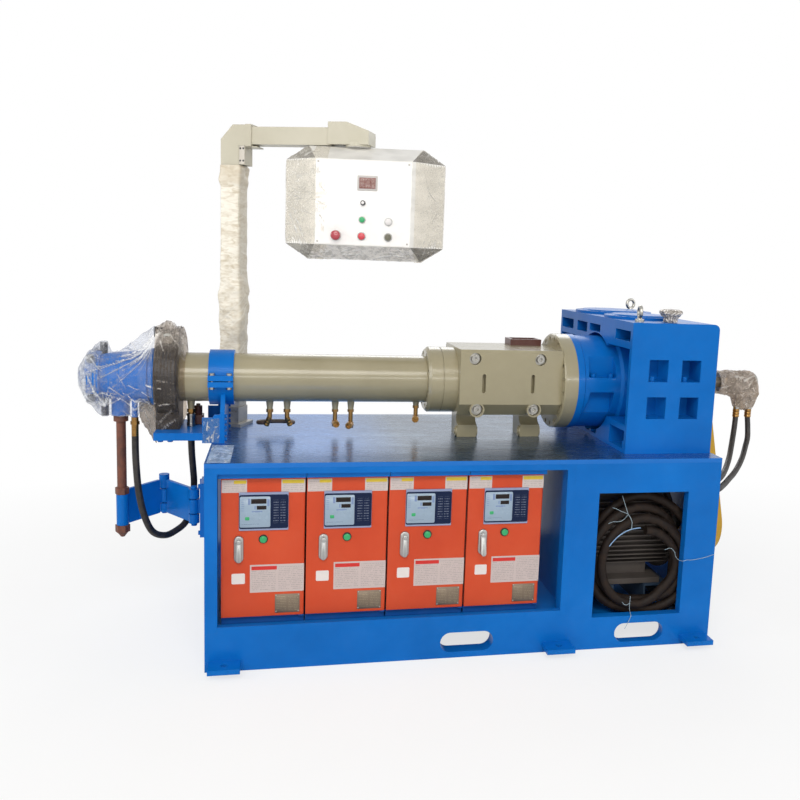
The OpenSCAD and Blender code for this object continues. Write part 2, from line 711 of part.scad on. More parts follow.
// Motor lying along X, with cooling fins on its body
motor_y = -148;
motor_z = 440;
motor_x = [bay_x + 98, xr - 110];
motor_r = 180;                // body under the fins
module motor() {
  x0 = motor_x[0];
  x1 = motor_x[1];
  color("#6b6660") {
    turned_x(x0, motor_y, motor_z, [[-52, 120], [-46, 176], [-8, 190], [0, 206], [16, 206], [16, motor_r],
      [x1 - x0 - 16, motor_r], [x1 - x0 - 16, 206], [x1 - x0, 206], [x1 - x0 + 14, 150], [x1 - x0 + 40, 70], [x1 - x0 + 40, 30],
      [xr + 90 - x0, 30]]);
    // fins lie level on the sides, upright above and below
    for (k = [-6:6]) let (d = k*23, reach = sqrt(206*206 - d*d)) {
      box([x0 + 10, motor_y - reach, motor_z + d - 2.5], [x1 - 10, motor_y + reach, motor_z + d + 2.5]);
      if (abs(k) < 5) box([x0 + 10, motor_y + d - 2.5, motor_z], [x1 - 10, motor_y + d + 2.5, motor_z + reach]);
    }
    for (y = [-1, 1]) {
      box([x0 + 60, motor_y + y*150 - 50, 220], [x1 - 60, motor_y + y*150 + 50, 244]);
      box([x0 + 100, motor_y + y*118 - 14, 240], [x1 - 100, motor_y + y*118 + 14, 300]);
    }
    // terminal box on the rear side
    box([x0 + 130, motor_y + 180, motor_z - 60], [x0 + 290, motor_y + 262, motor_z + 90]);
  }
}

// Two channels across the bay that carry the motor's feet
module motor_mount() {
  color(blue) for (x = [motor_x[0] + 40, motor_x[1] - 140]) difference() {
    box([x, motor_y - 215, bay_floor], [x + 120, motor_y + 215, 220]);
    box([x + 8, motor_y - 216, bay_floor - 1], [x + 112, motor_y + 216, 212]);
  }
}

// Belt guard: two round ends joined by straight sides
guard_t = 150;
guard_lo = [motor_y, motor_z];
guard_hi = [18, 890];
guard_r = 142;
module guard_shape(r) {
  d = guard_hi - guard_lo;
  ang = atan2(d[1], d[0]);
  translate(guard_lo) rotate(ang) {
    circle(r);
    translate([0, -r]) square([norm(d), 2*r]);
    translate([norm(d), 0]) circle(r);
  }
}
module belt_guard() {
  color("gold") translate([xr, 0, 0]) rotate([90, 0, 90]) difference() {
    union() {
      linear_extrude(guard_t) guard_shape(guard_r);
      linear_extrude(4) guard_shape(guard_r + 3);
    }
    // room for the end of the motor's shaft
    translate([0, 0, -1]) linear_extrude(102) translate(guard_lo) circle(45);
  }
}

// ---- head and its arm ----

pv0 = [xl - pivot_x, 0];                       // wall pivot
pv2 = [pv0[0] - arm_reach, 0];                 // jack screw
pv1 = [(pv0[0] + pv2[0])/2, sqrt(link_l*link_l - arm_reach*arm_reach/4)];  // elbow
arm_z0 = 438;
arm_z1 = arm_z0 + link_h;
knuckle_r = 22;
pivot_r = 12;

module link_plate(a, b, off) {
  d = b - a;
  ang = atan2(d[1], d[0]);
  translate([a[0], a[1], arm_z0]) rotate([0, 0, ang])
    translate([off, -7, 0]) cube([norm(d) - 2*off, 14, link_h]);
}

module knuckle(p, z0, z1) {
  translate([p[0], p[1], z0]) cylinder(r = knuckle_r, h = z1 - z0);
}
module knuckle_bore(p) {
  translate([p[0], p[1], arm_z0 - 50]) cylinder(r = pivot_r + fit, h = link_h + 100);
}

module arm_bracket() {
  zc = arm_z0 + link_h/2;
  color(blue) {
    box([xl - 55, -60, 390], [xl, 60, 626]);
    box([pv0[0], -12, zc - 30], [xl - 50, 12, zc + 30]);
    knuckle(pv0, zc - 30, zc + 30);
    translate([pv0[0], pv0[1], arm_z0 - 12]) cylinder(r = pivot_r, h = link_h + 24);
  }
}

module arm_inner() {
  zc = arm_z0 + link_h/2;
  color(blue) {
    difference() {
      union() {
        link_plate(pv0, pv1, 30);
        for (z = [[arm_z0, zc - 35], [zc + 35, arm_z1]]) {
          knuckle(pv0, z[0], z[1]);
          link_tab(pv0, pv1, z);
          knuckle(pv1, z[0], z[1]);
          link_tab(pv1, pv0, z);
        }
      }
      knuckle_bore(pv0);
    }
    translate([pv1[0], pv1[1], arm_z0 - 8]) cylinder(r = pivot_r, h = link_h + 28);
    translate([pv1[0], pv1[1], arm_z1]) cylinder(r = knuckle_r, h = 20);
  }
}

// Short web that joins a knuckle to its plate
module link_tab(a, b, z) {
  d = b - a;
  translate([a[0], a[1], z[0]]) rotate([0, 0, atan2(d[1], d[0])]) translate([10, -7, 0]) cube([25, 14, z[1] - z[0]]);
}

module arm_outer() {
  zc = arm_z0 + link_h/2;
  color(blue) difference() {
    union() {
      link_plate(pv1, pv2, 32);
      link_tab(pv1, pv2, [zc - 30, zc + 30]);
      knuckle(pv1, zc - 30, zc + 30);
      link_tab(pv2, pv1, [arm_z0, arm_z1 - 16]);
      translate([pv2[0], pv2[1], arm_z0]) cylinder(r = 24, h = link_h - 16);
    }
    knuckle_bore(pv1);
    translate([pv2[0], pv2[1], arm_z0 - 1]) cylinder(r = 19 + fit, h = link_h + 2);
  }
}

stub_z = screw_z - 162;       // underside of the head's stub on the jack screw
module jack_screw() {
  color("#6d4434") {
    translate([pv2[0], pv2[1], arm_z0 - 20]) cylinder(r = 19, h = stub_z - arm_z0);
    hex_z(pv2[0], pv2[1], arm_z1 - 16 + fit, 28, 28);
    // lower nut, drawn to a blunt point
    hex_z(pv2[0], pv2[1], arm_z0 - fit - 30, 30, 30);
    translate([pv2[0], pv2[1], arm_z0 - fit - 52]) cylinder(r1 = 8, r2 = 24, h = 22);
    translate([pv2[0], pv2[1], stub_z - 26]) cylinder(r = 29, h = 26);
  }
}

head_x1 = clamp_x - head_gap;      // face that meets the ring clamp
head_x0 = head_x1 - head_l;
die_l = 30;                   // die, standing out of the nose
nose_l = 55;                  // thick ring that carries the die
die_r = 25;                   // opening in the die
fitting_at = [pv2[0] + 64, -55];
module head_outside() {
  turned_x(head_x0, 0, screw_z, [[0, 46], [4, 50], [die_l, 50], [die_l, head_od/2 - 22], [die_l + 8, head_od/2 - 14],
    [die_l + nose_l, head_od/2 - 14], [die_l + nose_l, head_od/2 - 24], [die_l + nose_l + 25, head_od/2 - 22],
    [head_l - 30, head_od/2 - 6], [head_l - 30, head_od/2 - 14], [head_l - 22, head_od/2 - 14], [head_l - 22, head_od/2],
    [head_l, head_od/2]]);
}
module head() {
  color("royalblue") {
    difference() {
      union() {
        head_outside();
        // stub on the jack screw and oil nipple
        translate([pv2[0], 0, stub_z]) cylinder(r = 36, h = 100);
        translate([fitting_at[0], fitting_at[1], stub_z]) cylinder(r = 11, h = 98);
      }
      cyl_x(head_x1 - 90, 0, screw_z, barrel_id/2, 91);
      cyl_x(head_x0 - 1, 0, screw_z, die_r, head_l);
    }
  }
}

// Clamping screws round the nose, two long ones above and below it, and the screws of the nose's face
module head_bolts() {
  color("#3a3836") {
    difference() {
      translate([0, 0, screw_z]) {
        for (a = [45:90:315]) translate([head_x0 + die_l + 23, 0, 0]) rotate([a, 0, 0]) translate([0, 0, 60]) cylinder(r = 16, h = 64);
        for (a = [[0, 140], [180, 164]]) translate([head_x0 + die_l + nose_l + 5, 0, 0]) rotate([a[0], 0, 0]) translate([0, 0, 60])
          cylinder(r = 15, h = a[1] - 60);
      }
      head_outside();
    }
    for (a = [0:45:315]) translate([head_x0 + die_l - 5, 0, screw_z]) rotate([a, 0, 0]) translate([0, 74, 0])
      rotate([0, 90, 0]) cylinder(r = 8, h = 5);
  }
}

module head_fitting() {
  color("#b58f3c") translate([fitting_at[0], fitting_at[1], 0]) {
    translate([0, 0, 832 + fit]) cylinder(r = 14, h = stub_z - 832 - 2*fit);
    translate([0, 0, 880]) cylinder(r = 18, h = 14, $fn = 6);
  }
}

// ---- operator panel ----

mast_at = [xl + 66, 252];
swivel_at = mast_at + arm_l*[cos(arm_turn), sin(arm_turn)];
arm_z = table_h + arm_top;
socket_h = 86;                // cast socket, from the table
elbow_h = 170;                // elbow, down from the arm's top

spigot_r = 22;                // round pin that the mast turns on
module mast_socket() {
  color("gray") translate([mast_at[0], mast_at[1], table_h]) rotate([0, 0, arm_turn]) difference() {
    union() {
      translate([-65, -65, 0]) cube([130, 130, 14]);
      translate([-46, -46, 0]) cube([92, 92, socket_h]);
      cylinder(r = spigot_r, h = socket_h + 60);
    }
    for (x = [18, 34]) translate([x, -47, socket_h - 16]) rotate([-90, 0, 0]) cylinder(r = 4, h = 8);
  }
}

module mast() {
  color("#d9d5c5") translate([mast_at[0], mast_at[1], table_h + socket_h + fit]) rotate([0, 0, arm_turn])
    difference() {
      translate([-mast_w/2, -mast_w/2, 0]) cube([mast_w, mast_w, arm_top - elbow_h - socket_h - fit]);
      translate([0, 0, -1]) cylinder(r = spigot_r + fit, h = 62);
    }
}

module mast_arm() {
  w = mast_w/2;
  arm_w = 78;                 // width of the arm's tube
  arm_h = 74;                 // height of the arm's tube
  color("#d9d5c5") translate([mast_at[0], mast_at[1], arm_z]) rotate([0, 0, arm_turn]) {
    // elbow, drawn from the side, with its collar round the arm
    translate([0, w, 0]) rotate([90, 0, 0]) linear_extrude(mast_w)
      polygon([[-w, -elbow_h], [w, -elbow_h], [w, -88], [w + 30, -88], [w + 30, 0], [-w + 56, 0], [-w, -62]]);
    translate([w + 30, -w - 2, -90]) cube([27, mast_w + 4, 92]);
    translate([w + 56, -arm_w/2, -82]) cube([arm_l - w - 166, arm_w, arm_h]);
    // cover in the inner corner
    translate([w - 1, -w + 4, -elbow_h + 2]) cube([27, mast_w - 8, 83]);
    translate([w + 20, -w + 8, -94]) cube([60, mast_w - 16, 5]);
    // swivel: collar, sloping lid and round flange
    translate([0, 50, 0]) rotate([90, 0, 0]) linear_extrude(100)
      polygon([[arm_l - 120, -78], [arm_l + 60, -78], [arm_l + 60, -22], [arm_l - 38, 14], [arm_l - 120, 14]]);
    translate([arm_l, 0, -86 + fit + 0.5]) cylinder(r = 53, h = 20);
  }
}

box_z1 = arm_z - 86;
box_x = 35;                   // middle of the box, from the swivel
back_d = 110;                 // straight-sided part behind the bevels
plate = [403, 353];           // front plate
module panel_frame() {
  translate([swivel_at[0], swivel_at[1], box_z1 - box_h/2]) rotate([90, 0, box_turn]) translate([box_x, 0, 0]) children();
}
module panel_outline() {
  w = box_w/2;
  h = box_h/2;
  polygon([[-w + 93, h], [w - 93, h], [w, h - 60], [w, -h + 60], [w - 93, -h], [-w + 93, -h], [-w, -h + 60], [-w, h - 60]]);
}
module panel_box() {
  color("#d8dadb") panel_frame() {
    translate([0, 0, -box_d/2]) linear_extrude(back_d) panel_outline();
    hull() {
      translate([0, 0, back_d - box_d/2 - 1]) linear_extrude(1) panel_outline();
      translate([0, 0, box_d/2 - 1]) linear_extrude(1) square(plate, center = true);
    }
  }
  color("gray") translate([swivel_at[0], swivel_at[1], box_z1 - 1]) cylinder(r = 50, h = 1.5);
}

// Display, switches and buttons: across, up, radius, height
module panel_controls() {
  color("red") panel_frame() translate([0, 0, box_d/2]) {
    translate([17 - 42, 81 - 30, 0]) cube([84, 60, 3]);
    for (c = [[0, 0, 11, 16], [-2, -69, 15, 12], [-3, -137, 18, 14], [108, -74, 17, 12], [108, -137, 18, 20]])
      translate([c[0], c[1], 0]) cylinder(r = c[2], h = c[3]);
    translate([-110, -137, 0]) cylinder(r = 15, h = 22);
    translate([-110, -137, 18]) cylinder(r = 24, h = 14);
  }
}

// ---- hoses ----

function unit(v) = v/norm(v);
function catmull(p0, p1, p2, p3, t) = 0.5*((2*p1) + (p2 - p0)*t + (2*p0 - 5*p1 + 4*p2 - p3)*t*t
  + (3*p1 - p0 - 3*p2 + p3)*t*t*t);
// the first and the last span stay straight, so that a hose leaves its fittings square
function route(pts, k) = let (n = len(pts)) [for (i = [0:n - 2]) for (j = [0:(i == 0 || i == n - 2 ? 0 : k - 1)])
  catmull(pts[max(i - 1, 0)], pts[i], pts[i + 1], pts[min(i + 2, n - 1)], j/k), pts[n - 1]];

// Tube of radius r along a list of points: rings of ten points, closed at both ends
module tube(pts, r) {
  n = len(pts);
  m = 10;
  dirs = [for (i = [0:n - 1]) unit(pts[min(i + 1, n - 1)] - pts[max(i - 1, 0)])];
  side = [for (d = dirs) unit(cross(d, [0.31, 0.93, 0.19]))];
  verts = [for (i = [0:n - 1]) for (j = [0:m - 1]) let (a = 360*j/m, s = side[i], u = cross(dirs[i], s))
    pts[i] + r*(cos(a)*s + sin(a)*u)];
  faces = concat([[for (j = [0:m - 1]) j]], [[for (j = [m - 1:-1:0]) (n - 1)*m + j]],
    [for (i = [0:n - 2]) for (j = [0:m - 1]) each [
      [i*m + j, (i + 1)*m + j, i*m + (j + 1)%m],
      [i*m + (j + 1)%m, (i + 1)*m + j, (i + 1)*m + (j + 1)%m]]]);
  polyhedron(points = verts, faces = faces);
}

head_hose_pts = [[-1094, 0, 831.2], [-1094, 0, 795], [-1094, 20, 735], [-1093, 54, 668], [-1092, 83, 600],
  [-1096, 94, 528], [-1108, 93, 462], [-1128, 76, 416], [-1158, 38, 396], [-1200, -15, 390],
  [-1245, -60, 422], [-1275, -80, 500], [-1295, -80, 600], [-1306, -66, 710], [-1310, -55, 785], [-1310, -55, 832]];
loop_z = 899;                 // lower ends of the loop's nipples
loop_hose_pts = [[-770, 0, 898.7], [-770, 0, 886], [-790, 14, 874], [-818, 36, 870], [-808, 66, 868], [-744, 80, 867],
  [-680, 66, 868], [-670, 36, 870], [-680, 14, 874], [-697, 0, 886], [-697, 0, 898.7]];
hose_ends = [[-335, 667], [-385, 646]];   // where the drive-end hoses enter the base: across, up
union_a_pts = [[1443, 0, 943], [1443, 0, 915], [1436, -10, 868], [1418, -34, 815], [1392, -70, 770],
  [1362, -112, 732], [1325, -160, 705], [1288, -208, 690], [1247, -258, 680], [1205, -300, 673],
  [1166, -326, 668], [1134, -335, 667], [1104, -335, 667]];
union_b_pts = [[1506, 0, 943], [1506, 0, 910], [1508, -8, 858], [1501, -26, 806], [1479, -50, 765],
  [1442, -92, 722], [1394, -140, 688], [1342, -192, 668], [1289, -244, 657], [1250, -286, 652],
  [1209, -328, 648], [1170, -366, 646], [1134, -385, 646], [1104, -385, 646]];

// Glands in the end panel that the two drive-end hoses go through
module hose_glands() {
  color(steel) for (p = hose_ends) difference() {
    union() {
      cyl_x(xr, p[0], p[1], 24, 8);
      cyl_x(xr + 8, p[0], p[1], 19, 14);
    }
    cyl_x(xr - 1, p[0], p[1], 13 + fit, 24);
  }
  // gland of the coiled hose, on the bay floor
  color(steel) translate([coil_leg[0], coil_leg[1], bay_floor]) difference() {
    union() {
      cylinder(r = 29, h = 8);
      cylinder(r = 28, h = 24, $fn = 6);
    }
    translate([0, 0, -1]) cylinder(r = coil_tube + fit, h = 26);
  }
}

module head_hose() { color("#222") tube(route(head_hose_pts, 3), 14); }
module loop_hose() { color("#4a2f22") tube(route(loop_hose_pts, 3), 9); }
module union_hose_a() { color("#222") tube(route(union_a_pts, 3), 13); }
module union_hose_b() { color("#222") tube(route(union_b_pts, 3), 13); }
coil_at = [bay_x + 333, yf + 84.5, bay_floor + 218];
coil_r0 = 150;                // inside of the coil
coil_t = 91;                  // two turns side by side
coil_leg = [965, -393];       // where the hose comes up out of the bay floor
coil_tube = 19.5;             // radius of the hose
module coil_hose() {
  color("#222") {
    translate(coil_at) rotate([90, 0, 0]) difference() {
      union() {
        translate([0, 40, -coil_t/2]) cylinder(r = 258, h = coil_t);
        translate([0, 75, -coil_t/2]) cylinder(r = 245, h = coil_t);
      }
      translate([0, 0, -coil_t/2 - 1]) cylinder(r = coil_r0, h = coil_t + 2);
    }
    translate([coil_leg[0], coil_leg[1], bay_floor]) cylinder(r = coil_tube, h = 100);
  }
}

front_sill();
rear_sill();
cross_sills();
floor_plate();
posts();
top_rails();
table_top();
bay_front();
bay_rear();
end_panels();
cabinets();
door(0);  // door_1
door(1);  // door_2
door(2);  // door_3
door(3);  // door_4
door_fittings(0);  // door_fittings_1
door_fittings(1);  // door_fittings_2
door_fittings(2);  // door_fittings_3
door_fittings(3);  // door_fittings_4
support_bracket();
bracket_bolts();
clamp_lower();
clamp_upper();
clamp_bolts();
barrel();
screw();
barrel_flanges();
die_clamp();
port_fittings();
feed_body();
feed_feet();
feed_flange();
feed_bolts();
feed_hopper();
lantern();
gearbox();
gear_bolts();
gearbox_fittings();
rotary_union();
motor();
motor_mount();
belt_guard();
arm_bracket();
arm_inner();
arm_outer();
jack_screw();
head();
head_bolts();
head_fitting();
mast_socket();
mast();
mast_arm();
panel_box();
panel_controls();
hose_glands();
head_hose();
loop_hose();
union_hose_a();
union_hose_b();
coil_hose();
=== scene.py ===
"""Rubber extruder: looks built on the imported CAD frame. Metres; X runs along the screw towards the drive, Y to the rear
and Z up. Outlines, layers and turned profiles are in millimetres."""
import json

import bpy
import numpy as np
from mathutils import Matrix, Vector


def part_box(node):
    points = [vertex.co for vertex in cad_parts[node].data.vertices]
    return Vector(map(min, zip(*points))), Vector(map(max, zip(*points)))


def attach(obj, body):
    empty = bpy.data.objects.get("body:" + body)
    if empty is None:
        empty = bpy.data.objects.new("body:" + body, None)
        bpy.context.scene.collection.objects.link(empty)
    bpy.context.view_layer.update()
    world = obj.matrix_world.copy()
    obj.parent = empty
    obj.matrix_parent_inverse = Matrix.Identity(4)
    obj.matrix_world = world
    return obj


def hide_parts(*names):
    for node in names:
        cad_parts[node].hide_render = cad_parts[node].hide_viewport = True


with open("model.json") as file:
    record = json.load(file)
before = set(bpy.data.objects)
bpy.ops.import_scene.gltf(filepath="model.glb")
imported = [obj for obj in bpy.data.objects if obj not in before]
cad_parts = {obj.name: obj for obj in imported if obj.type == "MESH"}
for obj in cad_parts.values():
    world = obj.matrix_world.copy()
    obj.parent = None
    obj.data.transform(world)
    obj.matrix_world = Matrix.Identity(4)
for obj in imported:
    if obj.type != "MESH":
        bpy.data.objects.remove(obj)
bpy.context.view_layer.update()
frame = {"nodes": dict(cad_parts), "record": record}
nodes = frame["nodes"]
scene = bpy.context.scene
scene.view_settings.view_transform = "Standard"
X, Y, Z = np.eye(3)
FOUR_CORNERS = ((-1, -1), (1, -1), (-1, 1), (1, 1))


def turned_axes(degrees):
    """Unit vectors across and out of a front that is turned about Z: (cos, sin, 0) and (sin, -cos, 0)."""
    c, s = np.cos(np.radians(degrees)), np.sin(np.radians(degrees))
    return np.array([c, s, 0]), np.array([s, -c, 0])


SCREW_LINE = np.array([0, 0, 1.073])
MAST_AT = np.array([-0.934, 0.252, 0])
MAST_ACROSS, MAST_OUT = turned_axes(-23.0)
PANEL_ACROSS, PANEL_OUT = turned_axes(-11.0)
PANEL_AT = np.array([-0.41208, 0.03046, 1.822]) + 0.035 * PANEL_ACROSS
PANEL_END = 0.3365  # from the panel's middle to its straight ends


# ---------------------------------------------------------------- camera
def make_camera():
    """Camera at eye height, left of the machine's middle; its axes are worked out from the machine's known sizes."""
    data = bpy.data.cameras.new("camera")
    cam = bpy.data.objects.new("camera", data)
    scene.collection.objects.link(cam)
    right = Vector((0.97774547, -0.20602343, 0.03959987))
    down = Vector((0.00970215, -0.14414949, -0.98950836))
    ahead = Vector((0.20957021, 0.96787152, -0.13894264))
    turn = Matrix((right, -down, -ahead)).transposed().to_4x4()
    turn.translation = (-0.7287, -3.6236, 1.5889)
    cam.matrix_world = turn
    data.sensor_width = 36
    data.lens = 37.485
    data.shift_x, data.shift_y = -0.073, -0.0246
    data.clip_start, data.clip_end = 0.05, 60
    scene.camera = cam


make_camera()


# ---------------------------------------------------------------- shapes
def mesh_piece(name, verts, faces, mat, body, uv=None, sharp=40):
    """A mesh from points and faces, smooth but for edges that turn by more than sharp degrees."""
    me = bpy.data.meshes.new(name)
    me.from_pydata(np.reshape(verts, (-1, 3)).tolist(), [], [list(map(int, f)) for f in faces])
    if uv is not None:
        corner = np.empty(len(me.loops), dtype=np.int32)
        me.loops.foreach_get("vertex_index", corner)
        me.uv_layers.new(name="face").data.foreach_set("uv", np.reshape(uv, (-1, 2))[corner].ravel())
    me.polygons.foreach_set("use_smooth", [True] * len(me.polygons))
    me.update()
    me.set_sharp_from_angle(angle=np.radians(sharp))
    me.materials.append(mat)
    ob = bpy.data.objects.new(name, me)
    scene.collection.objects.link(ob)
    if body:
        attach(ob, body)
    return ob


def quads(n, m, closed=False):
    """Faces of an n by m grid of points; closed joins the last column to the first."""
    i, j = np.meshgrid(np.arange(n - 1), np.arange(m if closed else m - 1), indexing="ij")
    k = (j + 1) % m
    return np.stack([i * m + j, i * m + k, (i + 1) * m + k, (i + 1) * m + j], -1).reshape(-1, 4)


def ring_stack(name, rings, mat, body, uv=None, sharp=40):
    """Skin over a stack of closed rings, an array (rings, points, 3) that turns anticlockwise seen from the last ring,
    closed by its first and last ring."""
    n, m = rings.shape[:2]
    faces = [*quads(n, m, True), range(m)[::-1], range((n - 1) * m, n * m)]
    return mesh_piece(name, rings, faces, mat, body, uv, sharp)


def rounded(w, h, r, n=6):
    """Anticlockwise outline of a rectangle w by h with corners of radius r: four quarter circles."""
    a = (np.arange(4)[:, None] * 90 + np.linspace(0, 90, n)[None]).ravel() * np.pi / 180
    cx = np.repeat([1, -1, -1, 1], n) * (w / 2 - r)
    cy = np.repeat([1, 1, -1, -1], n) * (h / 2 - r)
    return np.stack([cx + r * np.cos(a), cy + r * np.sin(a)], 1)


def disc(r, n=32):
    """Outline of a circle."""
    a = np.linspace(0, 2 * np.pi, n, endpoint=False)
    return np.stack([r * np.cos(a), r * np.sin(a)], 1)


def raised(name, at, outline, layers, mat, body, u=X, v=Z):
    """Flat piece on a face: an outline in the plane of u and v, carried out along u x v through layers of (height,
    inset), or up one plain thickness."""
    outline = outline / 1000
    layers = np.array(layers if np.ndim(layers) else ((0, 0), (layers, 0))) / 1000
    along = np.roll(outline, -1, 0) - np.roll(outline, 1, 0)
    inward = np.stack([-along[:, 1], along[:, 0]], 1) / (np.linalg.norm(along, axis=1)[:, None] + 1e-12)
    flat = outline + inward * layers[:, 1, None, None]
    rings = at + flat[..., :1] * u + flat[..., 1:] * v + layers[:, 0, None, None] * np.cross(u, v)
    return ring_stack(name, rings, mat, body, (flat - outline.min(0)) / np.ptp(outline, axis=0))


def steps_along(path):
    """Distance from a path's start to each of its points."""
    return np.concatenate([[0], np.cumsum(np.linalg.norm(np.diff(path, axis=0), axis=1))])


def through(points, step):
    """Catmull-Rom curve through the points, straight in its first and last spans, with a point every step metres."""
    p = np.asarray(points, float)
    q = np.vstack([p[:1], p, p[-1:]])
    t = np.linspace(0, 1, 40, endpoint=False)[:, None, None]
    a, b, c, d = (q[i:len(p) - 1 + i] for i in range(4))
    line = 0.5 * (2 * b + (c - a) * t + (2 * a - 5 * b + 4 * c - d) * t**2 + (3 * b - a - 3 * c + d) * t**3)
    line[:, [0, -1]] = b[[0, -1]] + (c[[0, -1]] - b[[0, -1]]) * t
    line = np.vstack([line.transpose(1, 0, 2).reshape(-1, p.shape[1]), p[-1:]])
    s = steps_along(line)
    at = np.linspace(0, s[-1], max(2, int(round(s[-1] / step)) + 1))
    return np.stack([np.interp(at, s, col) for col in line.T], 1)


def spun(centres, radius, turns, u, w):
    """Grid round a line of centres: centre + radius * (cos(turn) * u + sin(turn) * w), a row a centre and a column a
    turn."""
    way = np.cos(turns)[:, None] * u + np.sin(turns)[:, None] * w
    return centres[:, None] + np.asarray(radius)[..., None] * way


def tube(name, path, radius, mat, sides=16, side=(0.31, 0.93, 0.19)):
    """Round tube on the base: a circle carried along a path, square to it. UV runs round it, and along it in metres."""
    d = np.gradient(path, axis=0)
    d /= np.linalg.norm(d, axis=1)[:, None]
    u = np.cross(d, side)
    u /= np.linalg.norm(u, axis=1)[:, None]
    a = np.linspace(0, 2 * np.pi, sides, endpoint=False)
    rings = spun(path, radius, a, u[:, None], np.cross(d, u)[:, None])
    uv = np.stack(np.broadcast_arrays(a / (2 * np.pi), steps_along(path)[:, None]), -1)
    return ring_stack(name, rings, mat, "base", uv, sharp=50)


def turned(name, at, axis, profile, mat, sides=48):
    """Solid of revolution on the base: pairs of distance along the axis and radius, carried round it."""
    u = np.cross(axis, Z if abs(axis[2]) < 0.9 else X)
    u /= np.linalg.norm(u)
    p = np.array(profile) / 1000
    a = np.linspace(0, 2 * np.pi, sides, endpoint=False)
    return ring_stack(name, spun(at + p[:, :1] * axis, p[:, 1:], a, u, np.cross(axis, u)), mat, "base")


def joined(name, parts, body, replaces=None):
    """Several made pieces as one mesh, which takes its finish from a slot and may stand for a CAD node."""
    verts, faces, mats, slots, uvs, at = [], [], [], [], [], 0
    for p in parts:
        me = p.data
        co = np.empty(len(me.vertices) * 3)
        me.vertices.foreach_get("co", co)
        verts.append(co.reshape(-1, 3))
        faces += [[v + at for v in f.vertices] for f in me.polygons]
        uv = np.zeros(len(me.loops) * 2)
        if me.uv_layers:
            me.uv_layers[0].data.foreach_get("uv", uv)
        uvs.append(uv)
        if me.materials[0] not in mats:
            mats.append(me.materials[0])
        slots += [mats.index(me.materials[0])] * len(me.polygons)
        at += len(me.vertices)
    ob = mesh_piece(name, np.vstack(verts), faces, mats[0], body)
    for m in mats[1:]:
        ob.data.materials.append(m)
    ob.data.polygons.foreach_set("material_index", slots)
    ob.data.uv_layers.new(name="face").data.foreach_set("uv", np.concatenate(uvs))
    for p in parts:
        bpy.data.objects.remove(p)
    if replaces:
        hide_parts(replaces)


def skin_points(names, step, keep=None):
    """Points along every edge of the named CAD nodes, step metres apart."""
    found = []
    for name in names:
        me = nodes[name].data
        co = np.empty(len(me.vertices) * 3)
        me.vertices.foreach_get("co", co)
        ends = np.empty(len(me.edges) * 2, dtype=np.int32)
        me.edges.foreach_get("vertices", ends)
        a, b = co.reshape(-1, 3)[ends.reshape(-1, 2)].transpose(1, 0, 2)
        n = np.maximum(1, np.ceil(np.linalg.norm(b - a, axis=1) / step).astype(int))
        start = np.repeat(np.arange(len(a)), n)
        t = (np.arange(len(start)) - np.repeat(np.cumsum(n) - n, n)) / n[start]
        found.append(a[start] + (b - a)[start] * t[:, None])
    p = np.vstack(found)
    return p if keep is None else p[keep(p)]


def stretched_round(points, at, axis, u, w, stations, turns, ahead, behind):
    """Film pulled tight: at each station along the axis, the outline of the convex hull of the points round it.
    A point at a distance d along the axis reaches that station less far by d times a slope, so that the film tents over
    it; ahead, one number or one a station, is the slope before the point, and behind the one past it. Angles turn from
    u to w. The hull's support h(angle) is the furthest reach that way, and its radius the least h(other) /
    cos(angle - other)."""
    rel = points - at
    run, flat = rel @ axis, np.stack([rel @ u, rel @ w], 1)
    reach = flat @ np.stack([np.cos(turns), np.sin(turns)])
    apart = np.abs((turns[:, None] - turns[None] + np.pi) % (2 * np.pi) - np.pi)
    near = np.where(apart < 1.35, 1 / np.maximum(np.cos(apart), 0.2), np.inf)
    radii = []
    for s, slope in zip(stations, np.broadcast_to(ahead, len(stations))):
        d = run - s
        h = (reach - (np.where(d > 0, slope, behind) * np.abs(d))[:, None]).max(0)
        radii.append((np.maximum(h, 0.004)[None] * near).min(1))
    return np.array(radii)


def creases(along, across, lines, width):
    """Pulled creases: for each line from (a0, b0) to (a1, b1) on the sheet, exp(-(distance / width)^2), the greatest of
    all. Each narrows towards its end, and every third one is faint."""
    p = np.stack([along, across], -1)[..., None, :]
    a, run = lines[:, :2], lines[:, 2:] - lines[:, :2]
    t = np.clip(((p - a) * run).sum(-1) / (run**2).sum(-1), 0, 1)
    gap = np.linalg.norm(p - a - t[..., None] * run, axis=-1)
    force = np.array([1.0, 0.7, 0.4])[np.arange(len(lines)) % 3]
    return (force * np.exp(-(gap / (width * (1 - 0.6 * t)))**2)).max(-1)


def waves(a, b, seed, count, finest, step=None):
    """Soft unevenness from -1 to 1: a sum of sines of a and b, up to finest waves a unit. Where step is given, the
    waves a unit of b are a whole number of steps."""
    rng = np.random.default_rng(seed)
    total = 0.0
    for _ in range(count):
        k = rng.uniform(-finest, finest, 2)
        if step:
            k[1] = round(k[1] / step) * step
        total = total + np.sin(2 * np.pi * (k[0] * a + k[1] * b) + rng.uniform(0, 6.28))
    return total / np.sqrt(count * 1.6)


def area_of(grid):
    """Area of a grid surface: half the cross products of its cells' diagonals."""
    d1, d2 = grid[1:, 1:] - grid[:-1, :-1], grid[1:, :-1] - grid[:-1, 1:]
    return float(np.linalg.norm(np.cross(d1, d2), axis=-1).sum() / 2)


